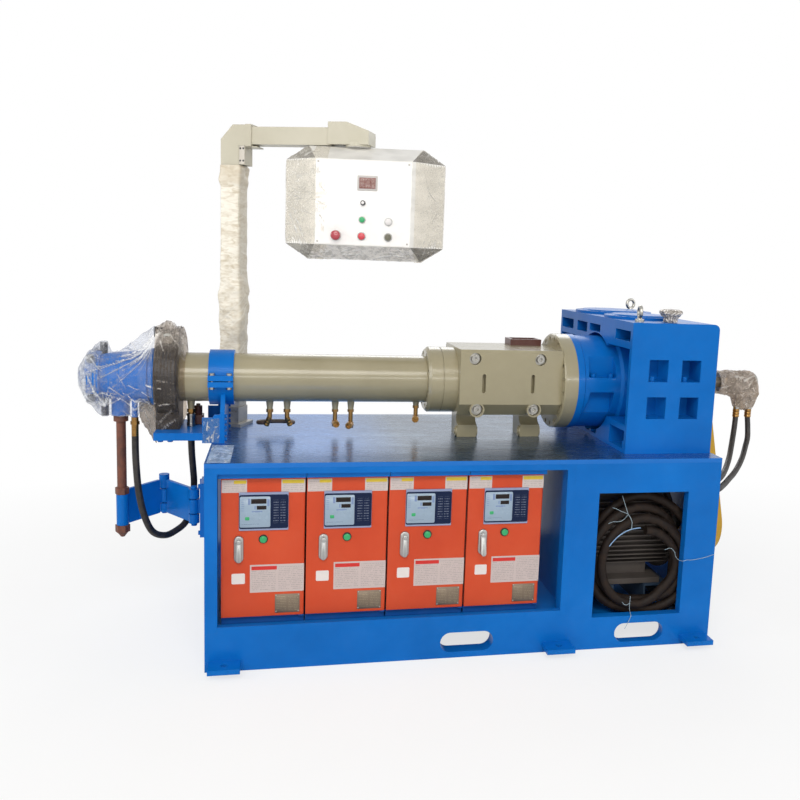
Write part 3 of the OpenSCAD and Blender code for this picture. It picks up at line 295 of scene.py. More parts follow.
def film_piece(name, grid, crease, haze, mat, body, flat, share=0.97, back=False):
    """Single sheet of film from a grid of points, with how creased and how cloudy it is at each as attributes. share is
    its flat area as a share of its creased one; that area, held against flat, is worked out and not used. back turns
    its faces round, so that they point outwards."""
    n, m = grid.shape[:2]
    faces = quads(n, m)
    ob = mesh_piece(name, grid, faces[:, ::-1] if back else faces, mat, body, sharp=60)
    for key, value in (("crease", crease), ("haze", haze)):
        layer = ob.data.attributes.new(key, "FLOAT", "POINT")
        layer.data.foreach_set("value", np.broadcast_to(value, (n, m)).ravel().astype(np.float32))
    min(area_of(grid) * share, flat[0] * flat[1])


# ---------------------------------------------------------------- materials
def linear(colour):
    """sRGB hex to linear RGBA."""
    c = np.array([int(colour[i:i + 2], 16) for i in (1, 3, 5)]) / 255
    return (*np.where(c <= 0.04045, c / 12.92, ((c + 0.055) / 1.055) ** 2.4), 1.0)


def adder(tree):
    """Empties a node tree and gives back its one function that adds a node. A kind may end in the node's operation, as
    in Math:POWER. Inputs are set or linked by order, or by name with _ for a space; a name in small letters is one of
    the node's settings; stops are a colour ramp's. It returns one output."""
    tree.nodes.clear()

    def add(kind, *inputs, out=0, stops=(), **named):
        kind, _, operation = kind.partition(":")
        node = tree.nodes.new("ShaderNode" + kind)
        if operation:
            node.operation = operation
        for key, value in (*enumerate(inputs), *named.items()):
            if isinstance(key, str) and key[0].islower():
                setattr(node, key, value)
                continue
            socket = node.inputs[key.replace("_", " ") if isinstance(key, str) else key]
            if isinstance(value, bpy.types.NodeSocket):
                tree.links.new(value, socket)
            elif value is not None:
                socket.default_value = linear(value) if isinstance(value, str) else value
        while stops and len(node.color_ramp.elements) < len(stops):
            node.color_ramp.elements.new(0.5)
        for element, (position, tone) in zip(node.color_ramp.elements if stops else (), stops):
            element.position = position
            element.color = linear(tone)
        return node.outputs[out] if len(node.outputs) else None

    return add


def material(recipe):
    """Turns recipe(add, place, ...), which returns a surface, into a function that makes a material of a given name.
    place is the Object coordinates."""
    def make(name, *values, **options):
        mat = bpy.data.materials.new(name)
        mat.use_nodes = True
        add = adder(mat.node_tree)
        add("OutputMaterial", recipe(add, add("TexCoord", out="Object"), *values, **options))
        return mat

    return make


@material
def painted(add, place, colour, dark, light, rough, peel=0.12, coat=0.35, wear="#2b3138", grime=0.22, peel_mm=2.5,
            specular=0.3, foot=None):
    """Sprayed paint on steel: clouded tone, orange peel, rubbed edges and workshop dust. foot is the height and colour
    of a plinth."""
    cloud = add("TexNoise", place, Scale=2.2, Detail=5, Roughness=0.6)
    tone = add("ValToRGB", cloud, stops=((0.3, dark), (0.5, colour), (0.72, light)))
    if foot:
        low = add("Math:LESS_THAN", add("SeparateXYZ", place, out=2), foot[0])
        tone = add("MixRGB", low, tone, foot[1])
    dust = add("TexNoise", place, Scale=9, Detail=8, Roughness=0.7)
    dust = add("Math:MULTIPLY", add("Math:POWER", dust, 3), grime)
    tone = add("MixRGB", dust, tone, "#8a8478")
    # the edge mask is how far the rounded normal leaves the flat one
    round_edge = add("Bevel", 0.0015, samples=4)
    lean = add("VectorMath:DOT_PRODUCT", round_edge, add("NewGeometry", out="Normal"), out="Value")
    edge = add("MapRange", lean, 0.99, 0.9, To_Max=0.3)
    flake = add("TexNoise", place, Scale=60, Detail=6, Roughness=0.7)
    flake = add("MapRange", flake, 0.54, 0.6)
    tone = add("MixRGB", add("Math:MULTIPLY", edge, flake), tone, wear)
    broad = add("TexNoise", place, Scale=26, Detail=3)
    fine = add("TexNoise", place, Scale=1000 / peel_mm, Detail=2)
    lie = add("Bump", Height=broad, Strength=peel, Distance=0.003, Normal=round_edge)
    lie = add("Bump", Height=fine, Strength=peel, Distance=0.0006, Normal=lie)
    gloss = add("TexNoise", place, Scale=14, Detail=5)
    gloss = add("MapRange", gloss, To_Min=rough - 0.08, To_Max=rough + 0.08)
    return add("BsdfPrincipled", Base_Color=tone, Roughness=gloss, Normal=lie, Coat_Weight=coat, Coat_Roughness=0.08,
               Specular_IOR_Level=specular)


@material
def bare_metal(add, place, colour, dark, rough=0.3, line=300, stretch=(1, 1, 1), stain="#5a5348", stained=0.3):
    """Machined metal: fine tool lines, duller stains."""
    place = add("Mapping", place, Scale=stretch)
    lines = add("TexNoise", place, Scale=line, Detail=3, Roughness=0.6)
    tone = add("MixRGB", lines, dark, colour)
    spots = add("TexNoise", place, Scale=30, Detail=6, Roughness=0.7)
    spots = add("Math:MULTIPLY", add("Math:POWER", spots, 2), stained)
    tone = add("MixRGB", spots, tone, stain)
    gloss = add("TexNoise", place, Scale=40, Detail=5)
    gloss = add("MapRange", gloss, To_Min=rough - 0.08, To_Max=rough + 0.12)
    lie = add("Bump", Height=lines, Strength=0.25, Distance=0.0004, Normal=add("Bevel", 0.001, samples=4))
    return add("BsdfPrincipled", Base_Color=tone, Metallic=1, Roughness=gloss, Normal=lie)


@material
def rough_cast(add, place, colour, dark, rough=0.6, metal=0.2, grain=180):
    """Cast or rusted surface with a coarse grain."""
    patch = add("TexNoise", place, Scale=24, Detail=8, Roughness=0.7)
    patch = add("MapRange", patch, 0.35, 0.65)
    gloss = add("MapRange", patch, To_Min=rough - 0.12, To_Max=rough + 0.12)
    pits = add("TexNoise", place, Scale=grain, Detail=5, Roughness=0.6)
    lie = add("Bump", Height=pits, Strength=0.5, Distance=0.002, Normal=add("Bevel", 0.002, samples=4))
    return add("BsdfPrincipled", Base_Color=add("MixRGB", patch, dark, colour), Metallic=metal, Roughness=gloss,
               Normal=lie)


@material
def hose_rubber(add, place, colour, light, rough=0.5, specular=0.4):
    """Hose cover: wrapped cloth marks round the hose, grey dust."""
    dust = add("TexNoise", place, Scale=35, Detail=6, Roughness=0.6)
    dust = add("MapRange", dust, 0.4, 0.7)
    lie = add("Bump", Height=add("TexNoise", place, Scale=500, Detail=2), Strength=0.35, Distance=0.0008)
    gloss = add("MapRange", dust, To_Min=rough - 0.1, To_Max=rough + 0.15)
    return add("BsdfPrincipled", Base_Color=add("MixRGB", dust, colour, light), Roughness=gloss, Normal=lie,
               Specular_IOR_Level=specular)


@material
def filmed_table(add, place):
    """Sheet steel with its bluish protective film on: a streaky mirror, cloudy where the film has lifted, and bluer
    towards both ends as a painted reflection of the blue parts there.
    """
    slow, fine = (add("TexNoise", add("Mapping", place, Scale=stretch), Scale=scale, Detail=detail, Roughness=rough)
                  for stretch, scale, detail, rough in (((0.35, 1.6, 1), 9, 7, 0.65), ((0.25, 2, 1), 70, 5, 0.6)))
    tone = add("ValToRGB", slow, stops=((0.3, "#30445a"), (0.5, "#435970"), (0.68, "#64798d")))
    lifted = add("MapRange", fine, 0.52, 0.72, To_Max=0.45)
    tone = add("MixRGB", lifted, tone, "#949da5")
    # towards both ends the table turns bluer: painted reflection of the blue parts at those ends
    run = add("Math:ABSOLUTE", add("Math:ADD", add("SeparateXYZ", place), -0.1))
    tone = add("MixRGB", add("MapRange", run, 0.3, 0.62, To_Max=0.8), tone, "#2a6fb8")
    gloss = add("MapRange", fine, 0.4, 0.75, 0.2, 0.36)
    lie = add("Bump", Height=slow, Strength=0.06, Distance=0.002, Normal=add("Bevel", 0.0015, samples=4))
    # the plate's edges are painted with the frame; the film lies on its top
    top = add("MapRange", add("SeparateXYZ", add("NewGeometry", out="True Normal"), out=2), 0.4, 0.6)
    tone = add("MixRGB", top, "#0c6abf", tone)
    gloss = add("MapRange", top, To_Min=0.35, To_Max=gloss)
    return add("BsdfPrincipled", Base_Color=tone, Metallic=add("Math:MULTIPLY", top, 0.6), Roughness=gloss,
               Normal=lie, Coat_Weight=0.06, Coat_Roughness=0.1, Specular_IOR_Level=0.3)


@material
def moulded(add, place, colour, rough=0.35, grain=0.0, coat=0.0, specular=0.5):
    """Moulded plastic: even colour with a faint cloud and, where grain is set, a fine texture."""
    cloud = add("MapRange", add("TexNoise", place, Scale=40, Detail=4), To_Min=0.92, To_Max=1.08)
    lie = add("Bump", Height=add("TexNoise", place, Scale=900, Detail=2), Strength=grain, Distance=0.0005)
    return add("BsdfPrincipled", Base_Color=add("HueSaturation", Value=cloud, Color=colour), Roughness=rough,
               Normal=lie, Coat_Weight=coat, Specular_IOR_Level=specular)


@material
def ruled_sheet(add, place, paper, ink, rows, margin=0.08, columns=1, strength=0.6, rough=0.35, metal=0.0,
                specular=0.5):
    """Printed or engraved sheet: broken ruled lines in rows, in the piece's own UV, with nothing to read."""
    part, up = (add("SeparateXYZ", add("TexCoord", out="UV"), out=k) for k in (0, 1))
    run = add("Math:MULTIPLY", up, rows)
    mask = add("Math:COMPARE", add("Math:MODULO", run, 1), 0.5, 0.18)
    seed = add("CombineXYZ", add("Math:MULTIPLY", part, 46), add("Math:MULTIPLY", add("Math:FLOOR", run), 7.31))
    column = add("Math:MODULO", add("Math:MULTIPLY", part, columns), 1)
    for limit in (add("MapRange", add("TexNoise", seed, Scale=1, Detail=1), 0.46, 0.5),
                  add("Math:GREATER_THAN", column, margin), add("Math:LESS_THAN", column, 1 - margin),
                  add("Math:GREATER_THAN", up, 0.06), add("Math:LESS_THAN", up, 0.94)):
        mask = add("Math:MULTIPLY", mask, limit)
    tone = add("MixRGB", add("Math:MULTIPLY", mask, strength), paper, ink)
    lie = add("Bump", Height=add("TexNoise", place, Scale=60, Detail=3), Strength=0.15, Distance=0.001)
    return add("BsdfPrincipled", Base_Color=tone, Roughness=rough, Metallic=metal, Normal=lie,
               Specular_IOR_Level=specular)


@material
def film(add, place, body, haze, glint, crease_mm, tint="#f1ede8", folds="#efeae2", rough=0.16):
    """Polythene stretch wrap: clear where it is taut, milky where it is bunched, with pulled creases that are white and
    lit by a painted highlight, and small painted glints. Its crease and haze attributes say where."""
    crease, cloud = (add("Attribute", out="Fac", attribute_name=key) for key in ("crease", "haze"))
    bent = add("MixRGB", 0.06, place, add("TexNoise", place, out="Color", Scale=12, Detail=2))
    small = add("TexNoise", bent, Scale=1000 / crease_mm, Detail=4, Roughness=0.6, Distortion=1.2)
    patch = add("TexNoise", place, Scale=250 / crease_mm, Detail=4, Roughness=0.65, Distortion=0.8)
    patch = add("MapRange", patch, 0.42, 0.62, haze * 0.45, haze)
    height = add("Math:ADD", add("Math:MULTIPLY", crease, 0.8), small)
    lie = add("Bump", Height=height, Strength=1, Distance=0.006)
    # painted glints: small bright flecks on the crinkles' ridges, where the film is cloudy
    ridge_glints = add("Math:MULTIPLY", add("MapRange", small, 0.58, 0.66),
                add("MapRange", cloud, To_Min=0.12, To_Max=0.8))
    # creases and glints turn to the folds colour: whitened creases with a painted highlight
    bright = add("Math:MAXIMUM", crease, ridge_glints)
    shine = add("BsdfPrincipled", Base_Color=add("MixRGB", bright, body, folds), Roughness=rough, Normal=lie,
                Specular_IOR_Level=0.7)
    milky = add("Math:ADD", add("Math:MULTIPLY", cloud, patch), add("Math:MULTIPLY", bright, glint))
    rim = add("Math:POWER", add("LayerWeight", 0.3, lie, out="Facing"), 2)
    seen = add("Math:ADD", milky, add("Math:MULTIPLY", rim, 0.45))
    return add("MixShader", add("Math:MINIMUM", seen, 1), add("BsdfTransparent", tint), shine)


@material
def clouded_film(add, place, light, dark, crease_mm):
    """Many layers of stretch wrap wound on each other: cloudy cream, with painted shade in tan in the hollows and where
    its haze attribute is high, and a painted sheen along the folds."""
    crease, cloud = (add("Attribute", out="Fac", attribute_name=key) for key in ("crease", "haze"))
    flat = add("Mapping", place, Scale=(1, 1, 3.2))
    fold = add("TexNoise", flat, Scale=1000 / crease_mm / 3, Detail=5, Roughness=0.6, Distortion=0.7)
    # painted shade: tan where the folds sink in
    tone = add("MixRGB", add("MapRange", fold, 0.3, 0.55), dark, light)
    # painted shade: tan where the haze attribute is high
    tone = add("MixRGB", add("Math:MULTIPLY", cloud, 0.75), tone, dark)
    # painted sheen: lighter along the creases
    tone = add("MixRGB", add("Math:MULTIPLY", crease, 0.5), tone, "#f7f3e8")
    lie = add("Bump", Height=add("Math:ADD", fold, crease), Strength=0.2, Distance=0.004)
    return add("BsdfPrincipled", Base_Color=tone, Roughness=0.38, Normal=lie, Specular_IOR_Level=0.6)


@material
def panel_shell(add, place):
    """Pale enamelled panel box whose chamfered corners are grey castings: grey where a face leans both across and
    up."""
    lean = add("TexCoord", out="Normal")
    across = add("VectorMath:DOT_PRODUCT", lean, tuple(PANEL_ACROSS), out="Value")
    leans = (add("Math:GREATER_THAN", add("Math:ABSOLUTE", way), 0.2) for way in (
        across, add("SeparateXYZ", lean, out=2)))
    corner = add("Math:MULTIPLY", *leans)
    cloud = add("TexNoise", add("Mapping", place, Scale=(1, 1, 3)), Scale=9, Detail=5)
    tone = add("ValToRGB", cloud, stops=((0.35, "#d6d4cf"), (0.6, "#e6e4df")))
    cast = add("TexNoise", place, Scale=40, Detail=6)
    cast = add("ValToRGB", cast, stops=((0.35, "#6f6c69"), (0.65, "#8d8a86")))
    lie = add("Bump", Height=add("TexNoise", place, Scale=500, Detail=2), Strength=0.15, Distance=0.0005,
              Normal=add("Bevel", 0.0015, samples=4))
    return add("BsdfPrincipled", Base_Color=add("MixRGB", corner, tone, cast), Normal=lie, Coat_Weight=0.1,
               Roughness=add("MapRange", corner, To_Min=0.28, To_Max=0.45))


MATERIALS = {
    # gloss alkyd enamel sprayed on welded plate and castings
    "blue_enamel": painted("blue gloss enamel", "#0068bc", "#0060b0", "#0471c8", 0.32, coat=0.05, grime=0.08,
                           specular=0.12),
    # painted sheet of the cabinets, whose plinth is blue like the frame
    "cabinet_sheet": painted("cabinet sheet paint", "#8f9699", "#858c90", "#9aa1a4", 0.45, coat=0.1,
                             foot=(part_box("door_1")[0][2], "#0a55a4")),
    # fine-textured powder coat
    "orange_powder_coat": painted("orange powder coat", "#c94621", "#c03f1c", "#d04e27", 0.42, peel=0.3, coat=0.03,
                                  wear="#7a2a14", grime=0.1, peel_mm=1.6),
    # satin chromed zinc
    "silver_handle": bare_metal("chromed zinc", "#c4c4c2", "#9c9d9c", 0.4),
    # olive-beige enamel over turned and cast steel
    "beige_enamel": painted("beige machine enamel", "#9c9376", "#91886b", "#a59c7f", 0.22, coat=0.15, specular=0.5,
                            wear="#4a4638", grime=0.2),
    # bright turned steel
    "bright_steel": bare_metal("bright turned steel", "#c2c0ba", "#8b8983", 0.28),
    # blackened cast steel
    "dark_steel": rough_cast("blackened steel", "#3d3a3a", "#272526", 0.42, 0.4),
    # yellow brass pipe fittings, browned
    "brass": bare_metal("brass", "#b99255", "#6e4a2a", 0.3, stain="#43291b", stained=0.5),
    # grey paint over ribbed cast iron
    "motor_grey": painted("motor grey paint", "#4a4441", "#3b3634", "#57514d", 0.5, coat=0.0, grime=0.25),
    # yellow enamel
    "yellow_enamel": painted("yellow guard enamel", "#c99a12", "#bd8f10", "#d4a51c", 0.3, coat=0.4),
    # rusted tube, once red-primed
    "rusty_steel": rough_cast("rusted primer", "#7c4a38", "#4f3128", 0.62, 0.15, 260),
    # blue enamel of the head
    "head_enamel": painted("head enamel", "#0f68bd", "#0b5cae", "#1873c6", 0.32, coat=0.1, specular=0.18),
    # zinc-grey casting
    "grey_casting": rough_cast("grey casting", "#b9b6b0", "#98958f", 0.4, 0.4),
    # warm-white powder coat
    "cream_powder_coat": painted("cream powder coat", "#c3beac", "#bab4a1", "#ccc7b7", 0.4, peel=0.2, coat=0.1,
                                 grime=0.1),
    # clear anodised profile, drawn lines along its length
    "anodised_aluminium": bare_metal("anodised aluminium", "#e4e3de", "#cfcdc6", 0.3, line=500, stretch=(0.1, 1, 1),
                                     stained=0.1),
    # red moulded button
    "red_plastic": moulded("red button plastic", "#c02630", 0.25, coat=0.4),
    # oil hose rubber
    "black_rubber": hose_rubber("black hose rubber", "#1c1918", "#35302d"),
    # hose rubber browned by dust
    "brown_rubber": hose_rubber("brown hose rubber", "#382c25", "#5c4b40"),
    # sheet steel with its protective film on
    "filmed_sheet_steel": filmed_table("filmed sheet steel"),
}
# reddish-brown baked enamel, dusty
BROWN_ENAMEL = painted("red-brown enamel", "#4b231e", "#3a1a17", "#5c2f28", 0.4, coat=0.2, grime=0.3)
# dark slate paint, in the shade of the bay
SLATE_PAINT = painted("dark slate paint", "#24374c", "#1b2c3e", "#2d4359", 0.45, coat=0.0, grime=0.2)


def dress_nodes():
    """Every carried-over CAD node gets the material of its record slot, but for three that differ from their slot."""
    for part in frame["record"]["subparts"]:
        mats = nodes[part["node"]].data.materials
        mats.clear()
        mats.append(MATERIALS[part["material_slot"]])
    for name, mat in (("motor_mount", SLATE_PAINT), ("panel_box", panel_shell("pale panel enamel")),
                      ("feed_hopper", BROWN_ENAMEL)):
        nodes[name].data.materials[0] = mat


dress_nodes()

# ---------------------------------------------------------------- cords
# name, diameter, slot, ends with a ferrule, stiffness, and the route in millimetres
HOSES = (
    ("head_hose", 0.028, "black_rubber", 0, "medium", (
        (-1094, 0, 831.2), (-1094, 0, 795), (-1094, 20, 735), (-1093, 54, 668), (-1092, 83, 600), (-1096, 94, 528),
        (-1108, 93, 462), (-1128, 76, 416), (-1158, 38, 396), (-1200, -15, 390), (-1245, -60, 422), (-1275, -80, 500),
        (-1295, -80, 600), (-1306, -66, 710), (-1310, -55, 785), (-1310, -55, 832))),
    ("loop_hose", 0.018, "brown_rubber", 2, "stiff", (
        (-770, 0, 898.7), (-770, 0, 886), (-790, 14, 874), (-818, 36, 870), (-808, 66, 868), (-744, 80, 867),
        (-680, 66, 868), (-670, 36, 870), (-680, 14, 874), (-697, 0, 886), (-697, 0, 898.7))),
    ("union_hose_a", 0.026, "black_rubber", 1, "medium", (
        (1443, 0, 943), (1443, 0, 915), (1436, -10, 868), (1418, -34, 815), (1392, -70, 770), (1362, -112, 732),
        (1325, -160, 705), (1288, -208, 690), (1247, -258, 680), (1205, -300, 673), (1166, -326, 668),
        (1134, -335, 667), (1104, -335, 667))),
    ("union_hose_b", 0.026, "black_rubber", 1, "medium", (
        (1506, 0, 943), (1506, 0, 910), (1508, -8, 858), (1501, -26, 806), (1479, -50, 765), (1442, -92, 722),
        (1394, -140, 688), (1342, -192, 668), (1289, -244, 657), (1250, -286, 652), (1209, -328, 648),
        (1170, -366, 646), (1134, -385, 646), (1104, -385, 646))),
)
COIL_AT = np.array([0.785, 0.0, 0.333])
# turns of the coil: angle in degrees from +X, radius and Y of the centreline in millimetres; it rises from the floor
# gland at the right
COIL_TURNS = np.array([
    [-1080, 180, -392], [-1057, 198, -393], [-1035, 225, -400], [-990, 258, -420], [-945, 240, -430],
    [-900, 226, -418], [-855, 208, -416], [-810, 197.5, -415.5], [-786, 215, -424], [-762, 232, -432],
    [-740, 242, -432], [-720, 248, -432], [-698, 268, -424], [-675, 285, -412], [-630, 300, -392], [-585, 250, -390],
    [-563, 219, -388], [-540, 190, -390], [-495, 175, -390], [-450, 167, -389.5], [-426, 176, -406],
    [-402, 190, -429], [-380, 201, -431], [-360, 208, -434], [-338, 209, -439], [-315, 209, -441], [-270, 213, -437],
    [-225, 192, -441], [-180, 171, -441], [-135, 167, -441], [-90, 167, -441.5], [-66, 158, -441.5],
    [-42, 151, -441.5], [-20, 161, -441], [0, 168, -441], [45, 167, -441], [84, 163, -441]])
# dusty brown-black hose rubber, in the shade of the bay
COIL_RUBBER = hose_rubber("dusty brown-black rubber", "#19120e", "#2e231c", 0.65, 0.2)


def cord(name, path, diameter, mat, slot, stiffness, lay, far_end="object", node=True, digits=3, **shape):
    """Cord along a path on the base, which stands for the CAD node of its name if it has one."""
    ob = tube(name, path, diameter / 2, mat, **shape)
    if node:
        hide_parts(name)
    length = round(float(steps_along(path)[-1]), digits)


def make_hoses():
    """Hoses of one round curve each, with a swaged brass ferrule at none, the first or both ends, and the coil:
    straight up from its gland, then three and a quarter turns to the cut end."""
    for name, diameter, slot, ferrules, stiffness, points in HOSES:
        path = through(np.array(points) / 1000, 0.008)
        cord(name, path, diameter, MATERIALS[slot], slot, stiffness, "hanging")
        r = diameter * 500
        for k in range(ferrules):
            run = path[::-1] if k else path
            d = (run[3] - run[0]) / np.linalg.norm(run[3] - run[0])
            sleeve = turned(f"{name}_ferrule_{k}", run[0] + d * 0.0005, d, (
                (0, r * 0.7), (0, r + 2.2), (4, r + 3), (12, r + 3), (13.5, r + 1.8), (16, r + 1.8), (17.5, r + 3),
                (24, r + 3), (25.5, r + 1.8), (28, r + 1.8), (29.5, r + 3), (38, r + 2.8), (40, r + 1),
                (40, r * 0.7)), MATERIALS["brass"], 24)
    t = through(COIL_TURNS / 50.0, 0.05) * 50.0
    a, r = np.radians(t[:, 0]), t[:, 1] / 1000
    ring = COIL_AT + np.stack([r * np.cos(a), t[:, 2] / 1000, r * np.sin(a)], 1)
    leg = np.array([[*ring[0, :2], z] for z in np.linspace(0.1155, ring[0, 2], 8)[:-1]])
    cord("coil_hose", through(np.vstack([leg, ring]), 0.012), 0.039, COIL_RUBBER, "brown_rubber", "stiff", "coiled",
         "bare", sides=18, side=(0, 1, 0.001))


make_hoses()

# ---------------------------------------------------------------- doors
# printed vinyl and engraved plate, ruled with broken lines
LABEL = ruled_sheet("ruled white vinyl", "#c6bab6", "#8d8480", 7)
PLATE = ruled_sheet("ruled white plate", "#c3b4b0", "#8f8582", 15, columns=2, margin=0.05)
BRONZE = ruled_sheet("engraved bronze-grey plate", "#77695a", "#9a8c74", 11, columns=2, metal=0.6, rough=0.4,
                     strength=0.7)
LEGEND = ruled_sheet("legend on navy", "#16223f", "#8a93a8", 10, columns=2, margin=0.12, strength=0.55, specular=0.12)
STRIP = ruled_sheet("printed strip", "#8fa3b6", "#4c5a70", 1, margin=0.02, strength=0.8)
# printed bands and pads, flat and even
YELLOW_BAND = moulded("yellow printed band", "#d8bb2e", 0.4)
RED_BAND = moulded("red printed band", "#c9241d", 0.4)
PAD = moulded("blue-grey print", "#7286ad")
PALE_STICKER = moulded("plain pale sticker", "#ded6d2", 0.4)
# the controller's mouldings, its glossy overlays and its dark windows
LILAC = moulded("lilac-grey moulding", "#8b96b6", 0.4, 0.1)
NAVY = moulded("navy overlay", "#16223f", specular=0.12)
OVERLAY = moulded("pale blue overlay", "#8fa3b6", 0.3, coat=0.2)
DARK_GLASS = moulded("dark display window", "#1d1412", 0.2, coat=0.05, specular=0.2)
GREEN = moulded("green key", "#1fa05f", 0.3, coat=0.3)
BLACK = moulded("black moulding", "#1d1e20", grain=0.2)


def door_pieces(i):
    """Everything fixed on one door. Places are millimetres right of and below the door's upper left corner, and out is
    how far off its face a piece starts."""
    body = f"door_{i}"
    lo, hi = np.array(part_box(body))
    chrome, made = MATERIALS["silver_handle"], []

    def put(name, cx, cz, outline, layers, mat, out=0):
        at = np.array([lo[0] + cx / 1000, lo[1] - out / 1000, hi[2] - cz / 1000])
        made.append(raised(f"{body}_{name}", at, outline, layers, mat, body))

    put("controller_frame", 158.5, 128, rounded(185, 150, 3), ((0, 0), (5, 0), (6, 1)), LILAC)
    put("controller_face", 158.5, 128.5, rounded(183, 133, 7), ((0, 0), (3.4, 0), (4.2, 0.8)), NAVY, 4.6)
    put("controller_overlay", 126, 128.5, rounded(114, 121, 6), ((0, 0), (0.8, 0), (1.1, 0.4)), OVERLAY, 8.6)
    put("legend", 217, 128, rounded(52, 104, 1), 0.3, LEGEND, 8.8)
    for cx, cz, w, h in ((139.5, 86.5, 57, 19), (150, 111.5, 36, 15)):
        put("display", cx, cz, rounded(w, h, 1.2), ((0, 0), (0.5, 0), (0.8, 0.5)), DARK_GLASS, 9.5)
    for cx, cz, w, h in ((104, 88, 9, 24), (175, 92, 8, 28), (126, 111, 5, 14), (133, 127, 40, 5)):
        put("print", cx, cz, rounded(w, h, 1), 0.2, PAD, 9.6)
    for k in range(6):
        put("lamp", 79.5, 80 + 8.6 * k, rounded(11, 2, 0.9), 0.3, PAD, 9.6)
    for cx, cz in ((96, 136), (123, 136), (146, 136), (170, 136), (122, 154), (146, 154), (170, 154)):
        put("key", cx, cz, disc(8), ((0, 0), (0.5, 0.2), (0.9, 1.2), (1.0, 3.0)), OVERLAY, 9.4)
    put("key_run", 97, 154, rounded(16, 13, 3), ((0, 0), (0.7, 0), (1.0, 0.5)), GREEN, 9.5)
    put("print_line", 108, 176, rounded(66, 6, 1), 0.2, STRIP, 9.6)
    # swing handle: dish and lever; the last door's lever stands out
    put("handle_dish", 65.5, 276.5, rounded(36, 106, 17.9, 12), ((0, 0), (5, 0), (8, 1.2), (9.5, 3.5), (9.8, 6)),
        chrome)
    put("handle_lever", 66, 284, rounded(23, 88, 11.4, 12), ((0, 0), (5.5, 0), (7.2, 1), (8.2, 3)), chrome, 9)
    if i == 4:
        lever = made[-1].data.vertices
        swing = np.empty(len(lever) * 3)
        lever.foreach_get("co", swing)
        z = swing[2::3]
        swing[1::3] -= 0.28 * np.clip(z.max() - 0.012 - z, 0, None)
        lever.foreach_set("co", swing)
    put("handle_pivot", 66, 246, disc(9, 24), ((0, 0), (3, 0), (4, 1), (4.3, 3)), chrome, 15.5)
    put("button_ring", 157, 239, disc(17.5), ((0, 0), (3, 0), (4.5, 1.5), (4.5, 3.5)), BLACK)
    put("button", 157, 239, disc(13.6), ((0, 0), (8, 0), (10, 1.2), (10.8, 3.5), (11, 7)), GREEN)
    # stickers and plates, ruled and plain
    put("sheet_left", 49, 29, rounded(93, 50, 1), 0.3, LABEL)
    put("band_left", 70, 13, rounded(46, 13, 1), 0.2, YELLOW_BAND, 0.3)
    put("sheet_right", 268, 30, rounded(90, 52, 1), 0.3, LABEL)
    put("band_right", 268, 13, rounded(82, 14, 1), 0.2, YELLOW_BAND, 0.3)
    put("sheet_large", 210, 398, rounded(205, 112, 1.5), 0.4, PLATE)
    put("band_large", 161, 356, rounded(96, 15, 1), 0.2, RED_BAND, 0.4)
    put("blank_sticker", 64, 396, rounded(50, 42, 5), 0.3, PALE_STICKER)
    put("rating_plate", 250, 502, rounded(95, 76, 2), ((0, 0), (0.9, 0), (1.2, 0.4)), BRONZE)
    for sx, sz in FOUR_CORNERS:
        put("rivet", 250 + sx * 43, 502 + sz * 33.5, disc(3, 12), ((0, 0), (1.2, 0.3), (1.8, 1.6)),
            MATERIALS["bright_steel"], 1)
    joined(f"door_{i}_fittings", made, body, f"door_fittings_{i}")


for number in range(1, 5):
    door_pieces(number)

# ---------------------------------------------------------------- operator panel
# white sheet plate, the bezel round the display, and the profile's groove
PANEL_PLATE = moulded("white plate enamel", "#eeecea", 0.3, coat=0.2)
BEZEL = moulded("pale grey bezel", "#b9b4b1")
GROOVE = moulded("black groove rubber", "#2b2b2e", 0.6)
# glossy lenses and the mushroom button; a duller knob
RED = moulded("red lens", "#c9303c", 0.22, coat=0.5)
PALE_LENS = moulded("clear white lens", "#d9d5d4", 0.2, coat=0.5)
E_STOP = moulded("red mushroom button", "#a93642", 0.25, coat=0.5)
SELECTOR = moulded("olive-grey knob", "#6c6a58", 0.4)
# backlit display, reddish brown with pale rows
DISPLAY = ruled_sheet("display", "#74403a", "#cdbdb2", 8, columns=3, margin=0.06, strength=0.85, rough=0.2)


